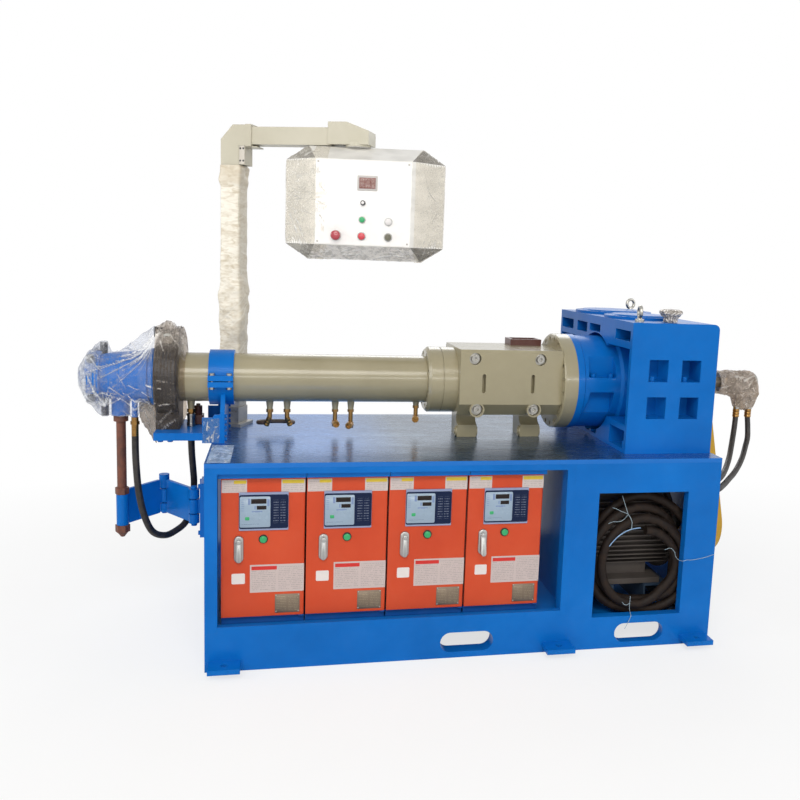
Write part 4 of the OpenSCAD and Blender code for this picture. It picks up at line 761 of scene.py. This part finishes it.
def panel_pieces():
    """What is fixed on the operator panel: places are millimetres across and up from the middle of its face, and off is
    how far in front of the panel's middle a piece starts."""
    chrome, made = MATERIALS["silver_handle"], []

    def put(name, cx, cz, outline, layers, mat, off=101.5):
        at = PANEL_AT + cx / 1000 * PANEL_ACROSS + cz / 1000 * Z + off / 1000 * PANEL_OUT
        made.append(raised(f"panel_{name}", at, outline, layers, mat, "panel", PANEL_ACROSS, Z))

    put("plate", 0, 0, rounded(397, 347, 4), ((0, 0), (1.2, 0), (1.8, 0.6)), PANEL_PLATE, 100)
    put("display_frame", 17, 81, rounded(84, 61, 3), ((0, 0), (3.2, 0), (4.2, 1.2)), BEZEL)
    put("display", 17, 81, rounded(68, 45, 1.5), ((0, 0), (0.8, 0), (1.0, 0.6)), DISPLAY, 105.2)
    for name, cx, cz, r, mat in (("lamp_red", -3, -137, 18, RED), ("key_green", -2, -69, 15, GREEN),
                                 ("lamp_white", 108, -74, 17, PALE_LENS)):
        put(name + "_ring", cx, cz, disc(r), ((0, 0), (3, 0), (4.5, 1.2), (4.5, 3.4)), chrome)
        put(name, cx, cz, disc(r - 3.2), ((0, 0), (8, 0), (10.5, 1.4), (11.5, 4), (11.8, 8)), mat, 103)
    put("knob", 0, 0, disc(11), ((0, 0), (12, 0.8), (14, 1.4), (15, 3), (15, 6)), BLACK)
    put("knob_cap", 0, 0, disc(6.5), ((0, 0), (0.8, 0.2), (1.1, 1.2)), PALE_LENS, 116.3)
    put("selector_ring", 108, -137, disc(18), ((0, 0), (3, 0), (4.5, 1.4), (4.5, 3.4)), chrome)
    put("selector_base", 108, -137, disc(14.5), ((0, 0), (8, 0.4), (10, 2)), SELECTOR, 104)
    put("selector_grip", 108, -137, rounded(9, 27, 4), ((0, 0), (8, 0.4), (9.5, 1.6), (10, 3)), SELECTOR, 113)
    put("stop_ring", -110, -137, disc(22), ((0, 0), (1.6, 0), (2.2, 0.8)), BEZEL)
    put("stop_neck", -110, -137, disc(15), 16, BLACK, 102)
    put("stop_button", -110, -137, disc(20), ((-3, 5), (0, 0), (7, 0), (10.5, 2), (13, 6), (14, 12), (14.2, 18)),
        E_STOP, 118)
    for sx, sz in FOUR_CORNERS:
        put("screw", sx * 188, sz * 163, disc(4, 16), ((0, 0), (1.4, 0.2), (2.2, 1.8)), MATERIALS["bright_steel"],
            101.6)
    joined("panel_face", made, "panel", "panel_controls")
    # the two straight ends: a pair of dark slots along the profile
    joined("panel_profile", [
        raised("panel_slot", PANEL_AT + end * 0.3352 * PANEL_ACROSS + d * PANEL_OUT, rounded(7.5, 286, 3),
               ((0, 0), (0.8, 0), (1.0, 0.2)), GROOVE, "panel", end * PANEL_OUT, Z)
        for end in (-1, 1) for d in (-0.018, -0.072)], "panel")


panel_pieces()

# ---------------------------------------------------------------- small fittings
# cream powder-coated cover plate
COVER = moulded("cover plate enamel", "#c9c3b8", 0.4)


def small_fittings():
    """Valve on the shelf, cap screw of the clamp, cover plate of the elbow, and nipple of the first port."""
    steel = MATERIALS["bright_steel"]
    joined("shelf_valve", [
        raised("valve_block", (-1.070, 0.080, 0.884), rounded(44, 40, 2), ((0, 1), (1, 0), (55, 0), (56, 1)),
               BROWN_ENAMEL, "base"),
        turned("valve_coil", (-1.070, 0.052, 0.9035), Z, (
            (0, 8), (0.6, 16.5), (2, 17), (36, 17), (38, 15), (38.5, 9), (46, 8.5), (47, 6)), BROWN_ENAMEL)],
        "base")
    # socket head cap screw that faces the front of the clamp's lug
    turned("clamp_cap_screw", (-1.180, -0.0405, 1.236), -Y, (
        (0, 23.5), (23.5, 23.5), (25, 22), (25.2, 12.5), (12, 12), (12, 0.5)), steel, 40)
    cover = MAST_AT + 0.0545 * MAST_ACROSS + 2.0175 * Z
    made = [raised("elbow_cover", cover + MAST_OUT * 0.0381, rounded(25.5, 81, 1), ((0, 0), (1.2, 0), (1.6, 0.4)),
                   COVER, "mast", MAST_ACROSS, Z)]
    for sx, sz in FOUR_CORNERS:
        made.append(raised("elbow_screw", cover + 0.007 * sx * MAST_ACROSS + 0.026 * sz * Z + MAST_OUT * 0.0396,
                           disc(4.2, 16), ((0, 0), (1, 0.3), (1.3, 1.5)), BLACK, "mast", MAST_ACROSS, Z))
    joined("elbow_cover_plate", made, "mast")
    joined("port_sleeve", [turned("port_sleeve", (-1.094, 0, 0.8625), Z, (
        (0, 14.5), (1, 17.8), (12, 17.8), (13, 16.5), (44, 16.5), (45, 18.5), (54, 18.5), (54.5, 17.5), (54.8, 14.5)),
        steel, 32)], "base")


small_fittings()

# ---------------------------------------------------------------- stretch film
HEAD_FILM = film("stretch film on the head", "#d8dce4", 0.75, 0.95, 7, tint="#fbfcff", folds="#ffffff", rough=0.12)
CLAMP_FILM = film("stretch film on the clamp", "#c4bab0", 0.75, 0.6, 8, tint="#e6dfd7", folds="#f5efe7", rough=0.12)
# the loose flap's film has a dark body and tint: painted shade of the parts seen through it
SHADED_FLAP_FILM = film("loose stretch film", "#6b655f", 0.8, 0.9, 8, tint="#a9a098", folds="#fdfbf8")
UNION_FILM = film("brown stretch film", "#b9aa9b", 0.85, 0.8, 11, tint="#cfc3b6", folds="#e6ded4", rough=0.12)
PANEL_FILM = film("stretch film on the panel", "#f0ebdf", 0.5, 0.8, 7, tint="#fbf9f5", folds="#ffffff")
FLAT_FILM = film("protective film", "#c8e0ff", 0.6, 0.8, 12)
# opaque white strip under the panel's plate: painted reflection on a face turned down
SILL_GLARE_FILM = film("stretch film under the plate", "#fffaf3", 1.0, 0.9, 7, folds="#ffffff")
MAST_FILM = clouded_film("wound stretch film", "#eee9dc", "#c6b9a1", 16)
HEAD_PARTS_AT = -1.2305  # X where the head comes off the ring clamp
# Creases and waves are laid out in metres on each sheet. On a wound one, across is the turn times a mean radius, and
# the step of its waves is that radius's girth.


def pulled_lines(seed, count, span, reach, focus=(), shift=0.0, upright=1.0):
    """Lines of pull on a sheet of size span (along, across), reach long at most, at any slant and shifted across;
    upright is what is left of their run along it. Then for each focus (along, across, reach, count, first angle, last
    angle) as many that fan out from it."""
    rng = np.random.default_rng(seed)
    a = rng.uniform((0, 0), span, (count, 2))
    slant = rng.uniform(-1.2, 1.2, count)
    b = a + np.stack([np.cos(slant) * upright, np.sin(slant)], 1) * rng.uniform(0.35, 1.0, count)[:, None] * reach
    lines = [np.hstack([a, b]) - [0, shift, 0, shift]]
    for along, across, far, n, first, last in focus:
        way = rng.uniform(first, last, n)
        way = np.stack([np.cos(way), np.sin(way)], 1) * rng.uniform(0.4, 1.0, n)[:, None] * far
        lines.append(np.hstack([np.tile((along, across), (n, 1)), (along, across) + way]))
    return np.vstack(lines)


def gathered(ring, centre, way, steps):
    """Rings that fold the end of a film in: for each (d, share), the last ring shrunk to that share, and d further."""
    return np.stack([centre + d * way + (ring - centre) * share for d, share in steps])


def unit_grid(n, m):
    """Two shares from 0 to 1, down and across a grid of n by m points."""
    return np.meshgrid(np.linspace(0, 1, n), np.linspace(0, 1, m), indexing="ij")


def head_films():
    """Film over the head and die, and over the ring clamp: one tent, parted where the head comes off. Angle 0 faces the
    front, +90 degrees is up, and the edges meet at the back."""
    turns = np.linspace(-np.pi, np.pi, 181)
    stations = np.concatenate([np.linspace(-1.5265, -1.1335, 90), np.linspace(-1.130, -1.108, 7)])
    steep = np.interp(stations, [-1.53, -1.495, -1.47, -1.44], [1.8, 1.6, 0.9, 0.78])
    p = skin_points(["head", "head_bolts", "die_clamp"], 0.015)
    # below, the part that swings away stays clear of the fitting and the clamp's foot
    r, r_low = (stretched_round(q, SCREW_LINE, X, -Y, Z, stations, turns, steep, 2.6)
                for q in (p, p[(p[:, 0] < -1.24) | (p[:, 2] > 1.0)]))
    upper = np.clip(np.sin(turns) * 4 + 1.2, 0, 1)
    swings = stations < HEAD_PARTS_AT
    r = np.where(swings[:, None], r * upper + r_low * (1 - upper), r)
    r = np.maximum(r, 0.1045 * (stations[:, None] > -1.20))
    radius, girth = 0.14, 0.88
    along, across = np.meshgrid(stations - stations[0], turns * radius, indexing="ij")
    pull = creases(along, across, pulled_lines(5, 44, (0.4, 0.5), 0.09, (
        (0.32, 0.18, 0.30, 17, 3.35, 4.35), (0.10, -0.17, 0.20, 14, 0.5, 2.7), (0.30, -0.18, 0.2, 9, 2.3, 3.3)),
        0.25), 0.0028)
    loose = waves(along, across, 3, 26, 26, girth) + 0.5 * waves(along, across, 4, 26, 60, girth)
    r = r + 0.0028 + 0.0035 * pull + 0.0030 * np.abs(loose)
    grid = spun(SCREW_LINE + stations[:, None] * X, r, turns, -Y, Z)
    haze = np.clip(1.25 - (stations + 1.525) / 0.10, 0.14, 1.1)[:, None]
    haze = haze + 0.25 * np.clip(waves(along, across, 8, 14, 12, girth), 0, 1)
    # the die end is gathered to a bunch
    nose = gathered(grid[0], SCREW_LINE + stations[0] * X, -X, ((0.0015, 0.05), (0.0035, 0.4), (0.003, 0.75),
                                                                (0.0015, 0.95)))
    at = int(swings.sum())
    front = np.vstack([nose, grid[:at]])
    pull_front, haze_front = (np.pad(v[:at], ((len(nose), 0), (0, 0)), "edge") for v in (pull, haze))
    film_piece("head_film", front, pull_front, haze_front, HEAD_FILM, "head", (0.85, 0.42),
               back=True)
    # the clamp's film is milkier over its top, where it bunches over the lugs, and lighter there as a painted highlight
    haze = np.clip(haze[at:] * 0.5 + 1.1 * np.clip(np.sin(turns) * 4 - 3.0, 0, 1), 0, 1.3)
    film_piece("clamp_film", grid[at:], pull[at:], haze, CLAMP_FILM, "base", (1.35, 0.30),
               back=True)


def hanging_film():
    """Loose flap below the head: a sheet hung from its underside, longer towards the clamp, in soft upright folds."""
    s, t = unit_grid(44, 60)
    x = -1.2975 + 0.0685 * s
    foot = np.interp(x, [-1.2975, -1.272, -1.256, -1.242, -1.2285], [0.902, 0.866, 0.828, 0.806, 0.797])
    pull = creases(s * 0.069, t * 0.17, pulled_lines(91, 22, (0.069, 0.17), 0.09, upright=0.35), 0.0022)
    fold = waves(s * 0.069, t * 0.05, 92, 24, 40)
    y = -0.028 + 0.010 * np.sin(s * 9 + t * 2) * t + 0.004 * fold * t
    grid = np.stack([x, y, 0.972 + (foot - 0.972) * t + 0.003 * np.sin(s * 31) * t], -1)
    film_piece("hanging_film", grid, pull, 0.55 + 0.3 * np.clip(fold, 0, 1), SHADED_FLAP_FILM, "head", (0.072, 0.180),
               0.95)


def wound_mast():
    """Film wound round the mast: a square of rounded corners, pulled in by creases, slack and bulging low down."""
    z, turns = np.linspace(0.909, 1.9725, 240), np.linspace(-np.pi, np.pi, 121)
    high, around = np.meshgrid(z, turns, indexing="ij")
    c, s = np.cos(around), np.sin(around)
    radius, girth = 0.0535, 0.336
    around = around * radius
    square = 0.0428 / (np.abs(c) ** 9 + np.abs(s) ** 9) ** (1 / 9)
    slack = np.interp(high, [0.9, 1.06, 1.12, 1.20, 1.30, 1.42, 1.50, 1.60, 1.86, 1.88, 1.905, 1.96, 1.975],
                      [0.0015, 0.003, 0.009, 0.006, 0.014, 0.012, 0.004, 0.0025, 0.002, 0.002, 0.009, 0.010, 0.005])
    rng = np.random.default_rng(11)
    n = 64
    at = np.stack([rng.uniform(0.92, 1.95, n), rng.uniform(-0.2, 0.16, n)], 1)
    slope = rng.uniform(-0.35, 0.45, n) + np.where(at[:, 0] < 1.45, rng.uniform(-0.5, 1.0, n), 0)
    run = rng.uniform(0.05, 0.16, n)
    pull = creases(high, around, np.hstack([at, at + np.stack([slope * run, run], 1)]), 0.0045)
    lump = waves(high, around, 21, 30, 14, girth)
    fine = waves(high * 1.6, around, 22, 30, 40, girth)
    r = square + slack * (0.75 + 0.5 * np.clip(lump, -1, 1)) + 0.0012
    r = r + 0.0009 * np.abs(fine) * (0.4 + slack / 0.008) - 0.0012 * pull
    grid = spun(MAST_AT + z[:, None] * Z, np.maximum(r, square + 0.0006), turns, MAST_ACROSS, -MAST_OUT)
    # the haze attribute here holds how dark the film is: by height, darker low down and in the bulge under the elbow
    dark = np.interp(high, [0.9, 1.1, 1.3, 1.45, 1.6, 1.885, 1.9, 1.96, 1.975],
                     [0.3, 0.35, 0.3, 0.2, 0.1, 0.1, 0.85, 0.9, 0.7])
    # darker on the face turned to the right: painted shade
    dark = np.clip(dark + 0.55 * np.clip(c * 5 - 3, 0, 1) + 0.15 * np.clip(fine, -1, 1), 0, 1)
    film_piece("mast_film", grid, pull, dark, MAST_FILM, "mast", (0.42, 1.07), share=0.95)


def union_film():
    """Film bunched round the rotary union and down both its hose ports: along X, an oval between a top and a bottom
    line, narrower below where it hangs round the ports, and gathered shut at the end."""
    x, turns = np.linspace(1.320, 1.5215, 90), np.linspace(-np.pi, np.pi, 121)
    top = np.interp(x, [1.320, 1.345, 1.372, 1.422, 1.462, 1.485, 1.502, 1.514, 1.522],
                    [1.124, 1.127, 1.130, 1.128, 1.128, 1.127, 1.126, 1.118, 1.100])
    low = np.interp(x, [1.320, 1.334, 1.381, 1.414, 1.427, 1.440, 1.501, 1.522],
                    [1.020, 1.018, 1.014, 0.998, 0.952, 0.943, 0.938, 0.944])
    hung = np.interp(x, [1.40, 1.43], [0.0, 0.5])[:, None]
    radius, girth = 0.06, 0.377
    along, across = np.meshgrid(x - x[0], turns * radius, indexing="ij")
    pull = creases(along, across, pulled_lines(9, 30, (0.21, 0.36), 0.07, shift=0.18), 0.0035)
    lift = 0.002 * pull
    for depth, seed, finest in ((0.0025, 31, 30), (0.0012, 32, 70)):
        lift = lift + depth * np.abs(waves(along, across, seed, 26, finest, girth))
    c, s = np.cos(turns), np.sin(turns)
    tall = ((top - low)[:, None] / 2 + lift) * s
    wide = (0.0545 + lift) * (1 - hung * np.clip(-s, 0, 1) ** 0.7) * c
    centres = x[:, None] * X + (top + low)[:, None] / 2 * Z
    grid = centres[:, None] - wide[..., None] * Y + tall[..., None] * Z
    end = gathered(grid[-1], centres[-1], X, ((0.003, 0.93), (0.0055, 0.75), (0.007, 0.4), (0.006, 0.06)))
    pull = np.pad(pull, ((0, len(end)), (0, 0)), "edge")
    film_piece("union_film", np.vstack([grid, end]), pull, 0.9, UNION_FILM, "base", (0.46, 0.28),
               share=0.9, back=True)


def breather_film():
    """Scrap tied over the breather on the gearbox: a turned cap, uneven."""
    z, turns = np.linspace(0, 0.0555, 25), np.linspace(-np.pi, np.pi, 121)
    radius = np.interp(z, [0.0, 0.006, 0.014, 0.026, 0.036, 0.044, 0.050, 0.054, 0.0555],
                       [0.026, 0.029, 0.027, 0.037, 0.046, 0.048, 0.044, 0.032, 0.004])[:, None]
    mean, girth = 0.04, 0.2513
    high, around = np.meshgrid(z, turns * mean, indexing="ij")
    bump = 0.003 * np.abs(waves(high, around, 41, 20, 60, girth)) * np.minimum(1, radius / 0.02)
    cap = spun((0.900, -0.330, 1.3765) + z[:, None] * Z, radius + bump, turns, X, Y)
    film_piece("breather_film", cap, np.clip(bump / 0.003, 0, 1), 0.8, CLAMP_FILM, "base", (0.16, 0.16),
               share=0.95)


def panel_films():
    """Film left on the operator panel: round both its ends, and a strip along the slope under its plate, white as a
    painted reflection.
    """
    p = skin_points(["panel_box"], 0.006, lambda q: q[:, 2] < 2.0568)
    turns = np.linspace(-np.pi, np.pi, 161)
    w, radius, girth = np.cross(PANEL_ACROSS, PANEL_OUT), 0.2, 1.2566
    for name, inner, clear, seed in (("panel_end_film", -0.150, 1.0, 15), ("panel_right_film", 0.215, 0.55, 18)):
        side = np.sign(inner)
        stations = np.linspace(side * PANEL_END, inner, 64)
        r = stretched_round(p, PANEL_AT, PANEL_ACROSS, PANEL_OUT, w, stations, turns, 0.7, 0.7)
        along, around = np.meshgrid(stations, turns * radius, indexing="ij")
        lines = pulled_lines(seed, 46, (0.19, 1.2), 0.10, shift=0.6)
        lines[:, [0, 2]] = side * (PANEL_END - lines[:, [0, 2]])
        pull = creases(along, around, lines, 0.003)
        lift = 0.0012 + 0.002 * pull
        for depth, plus, finest in ((0.0016, 36, 22), (0.0010, 37, 60)):
            lift = lift + depth * np.abs(waves(along, around, seed + plus, 30, finest, girth))
        centres = PANEL_AT + stations[:, None] * PANEL_ACROSS
        grid = spun(centres, r + lift, turns, PANEL_OUT, w)
        # folded in over the end face
        end = gathered(grid[0], centres[0], side * PANEL_ACROSS, ((0.001, 0.35), (0.0022, 0.7), (0.0022, 0.93),
                                                                  (0.0012, 0.985)))
        fade = np.clip(np.abs(along - inner) / abs(side * PANEL_END - inner) * 1.5, 0, 1) ** 1.3
        pull, haze = (np.pad(v, ((len(end), 0), (0, 0)), "edge") for v in (pull * (0.25 + 0.75 * fade), clear * fade))
        grid, way = np.vstack([end, grid]), -int(side)
        wide = round(PANEL_END - abs(inner) + 0.125, 2)
        film_piece(name, grid[::way], pull[::way], haze[::way], PANEL_FILM, "panel", (1.36, wide))
    # a strip over the slope below the plate, opaque white as a painted reflection
    s, t = unit_grid(110, 24)
    foot, brow = PANEL_AT - 0.2335 * Z + 0.012 * PANEL_OUT, PANEL_AT - 0.1765 * Z + 0.0985 * PANEL_OUT
    half = 0.236 * (1 - t) + 0.200 * t
    down = np.cross(PANEL_ACROSS, (brow - foot) / np.linalg.norm(brow - foot))
    pull = creases(s * 0.46, t * 0.1, pulled_lines(27, 26, (0.46, 0.1), 0.06), 0.003)
    lift = 0.0012 + 0.0016 * np.abs(waves(s * 0.46, t * 0.1, 61, 24, 30)) + 0.002 * pull
    strip = foot + t[..., None] * (brow - foot) + ((2 * s - 1) * half)[..., None] * PANEL_ACROSS
    strip = strip + lift[..., None] * down
    film_piece("panel_sill_film", strip[::-1], pull[::-1], 1.3, SILL_GLARE_FILM, "panel", (0.46, 0.11))


def laid_films():
    """Protective film left on the bracket's cheek, and a pale opaque sheet on the table's front corner that is a
    painted
    reflection of glare there: flat, lifted here and there.
    """
    for name, at, u, v, across, up, seed, cloud, under in (
            ("cheek_film", (-1.0345, -0.1508, 0.822), X, Z, 0.066, 0.101, 71, 0.25, "support_bracket"),
            # on the table's corner, an opaque pale sheet: painted reflection of glare on the table
            ("corner_glare_film", (-0.992, -0.494, 0.8206), X, Y, 0.085, 0.30, 74, 1.3, "table_top")):
        s, t = unit_grid(36, 60)
        s, t = s * across, t * up
        pull = creases(s, t, pulled_lines(seed, 12, (across, up), 0.05, upright=0.2), 0.0035)
        lift = 0.0004 + 0.0016 * np.clip(waves(s, t, seed + 1, 20, 18), 0, 1) + 0.0012 * pull
        sheet = at + s[..., None] * u + t[..., None] * v + lift[..., None] * np.cross(u, v)
        film_piece(name, sheet, pull, cloud, FLAT_FILM, "base", (across + 0.002, up + 0.002),
                   back=True)


head_films()
hanging_film()
wound_mast()
union_film()
breather_film()
panel_films()
laid_films()

# ---------------------------------------------------------------- wire in the bay
# pale blue insulated wire, and undyed polyester twine
BLUE_WIRE = moulded("pale blue wire cover", "#8fb4dc")
TWINE = moulded("pale twine", "#9fb3bd", 0.6)


def bay_wires():
    """Wire offcut on the coil and the twine that ties it: diameter, and X, Y and Z of each in millimetres."""
    for name, wide, pts in (
            ("tie_wire", 4.2, (
                (634, -463, 436), (640, -464, 446), (652, -464.6, 461), (667, -465.2, 476), (684, -465.4, 489),
                (701, -465.4, 499), (718, -465.2, 506), (735, -465, 510), (752, -464.6, 512.5), (768, -464, 513))),
            ("twine_stem", 2.4, ((726, -468.5, 509), (727, -467, 538), (718, -465, 560), (708, -463.5, 575))),
            ("twine_a", 2.2, ((708, -463.5, 575), (693, -463.5, 612), (684, -463, 636), (677, -462.5, 655))),
            ("twine_b", 2.0, ((708, -464.5, 575), (675, -464, 588), (655, -464, 598), (637, -463, 604))),
            ("twine_c", 2.0, ((708, -465.5, 574), (694, -466, 557), (678, -465.5, 545), (660, -465, 543),
                              (641, -464.5, 543), (623, -463, 535))),
            ("twine_low", 2.4, ((744, -463.5, 211), (743, -465, 183), (740, -472, 158), (736, -500, 141),
                                (732, -502.5, 132), (725, -502, 114), (711, -501.8, 83))),
            ("twine_loop", 2.0, ((743, -466.5, 183), (733, -467, 175), (724, -466.5, 174), (714, -465.5, 179),
                                 (707, -464.5, 187))),
            ("twine_right", 2.0, (
                (887, -463, 412), (912, -464, 420), (933, -465, 401), (937, -466, 384), (947, -480, 371),
                (957, -500.5, 373), (972, -502, 378), (994, -502, 377), (1028, -501.8, 381), (1060, -501.8, 387),
                (1097, -501.8, 398)))):
        path = np.array(pts) / 1000
        path = through(path, max(0.002, steps_along(path)[-1] / 32))
        mat, stiffness, lay = (BLUE_WIRE, "stiff", "loose") if name == "tie_wire" else (TWINE, "limp", "taut")
        cord(name, path, wide / 1000, mat, "silver_handle", stiffness, lay, "bare", False, 4, sides=10)


bay_wires()


# ---------------------------------------------------------------- stage
def looked_at(add):
    """1 for a ray from the camera or one mirrored in or seen through something, and 0 for one that lights."""
    seen = add("Math:MAXIMUM", add("LightPath", out="Is Camera Ray"), add("LightPath", out="Is Glossy Ray"))
    return add("Math:MAXIMUM", seen, add("LightPath", out="Is Transmission Ray"))


@material
def floor_paint(add, place):
    """Pale floor that takes the object's shadow and fades to plain white away from it."""
    tone = add("MixRGB", add("TexNoise", place, Scale=3), "#f6f5f2", "#fcfbf9")
    face = add("BsdfPrincipled", Base_Color=tone, Roughness=0.85, Specular_IOR_Level=0.1)
    away = add("VectorMath:LENGTH", add("Mapping", place, Scale=(0.5, 0.8, 1)), out="Value")
    away = add("MapRange", away, 0.9, 2.2, To_Min=0.7)
    return add("MixShader", add("Math:MULTIPLY", away, looked_at(add)), face, add("Emission", "#ffffff", 1))


def make_stage():
    """Floor, and a plain world: grey-white for light, white for whatever is looked at past the object."""
    half, under = 30.0, -0.0005
    corners = [(x * half, y * half, under) for x, y in ((-1, -1), (1, -1), (1, 1), (-1, 1))]
    mesh_piece("floor", corners, [(0, 1, 2, 3)], floor_paint("pale floor"), None)
    scene.world = bpy.data.worlds.new("studio")
    scene.world.use_nodes = True
    add = adder(scene.world.node_tree)
    lit, seen = add("Background", (0.80, 0.83, 0.88, 1), 0.36), add("Background", (1, 1, 1, 1), 1)
    add("OutputWorld", add("MixShader", looked_at(add), lit, seen))


def lamp(name, at, to, size, power, colour=(1, 1, 1)):
    """Rectangular area lamp, turned from one point to another."""
    data = bpy.data.lights.new(name, "AREA")
    data.shape = "RECTANGLE"
    data.size, data.size_y = size
    data.energy = power
    data.color = colour
    ob = bpy.data.objects.new(name, data)
    scene.collection.objects.link(ob)
    ob.location = at
    ob.rotation_euler = (Vector(to) - Vector(at)).to_track_quat("-Z", "Y").to_euler()


make_stage()
lamp("key", (-1.2, -5.2, 5.0), (0, 0, 0.9), (5.0, 2.0), 212, (1.0, 0.97, 0.92))
lamp("window strip", (0.0, -7.0, 2.45), (0, 0, 1.07), (9.0, 0.35), 112, (1.0, 0.98, 0.94))
lamp("rear fill", (1.5, 5.0, 4.2), (0, 0, 0.9), (5.0, 2.5), 124, (0.95, 0.97, 1.0))
lamp("left fill", (-5.5, -1.0, 2.6), (-0.5, 0, 1.0), (3.0, 2.5), 76)
lamp("right fill", (5.5, -1.5, 2.6), (0.5, 0, 1.0), (3.0, 2.5), 56)
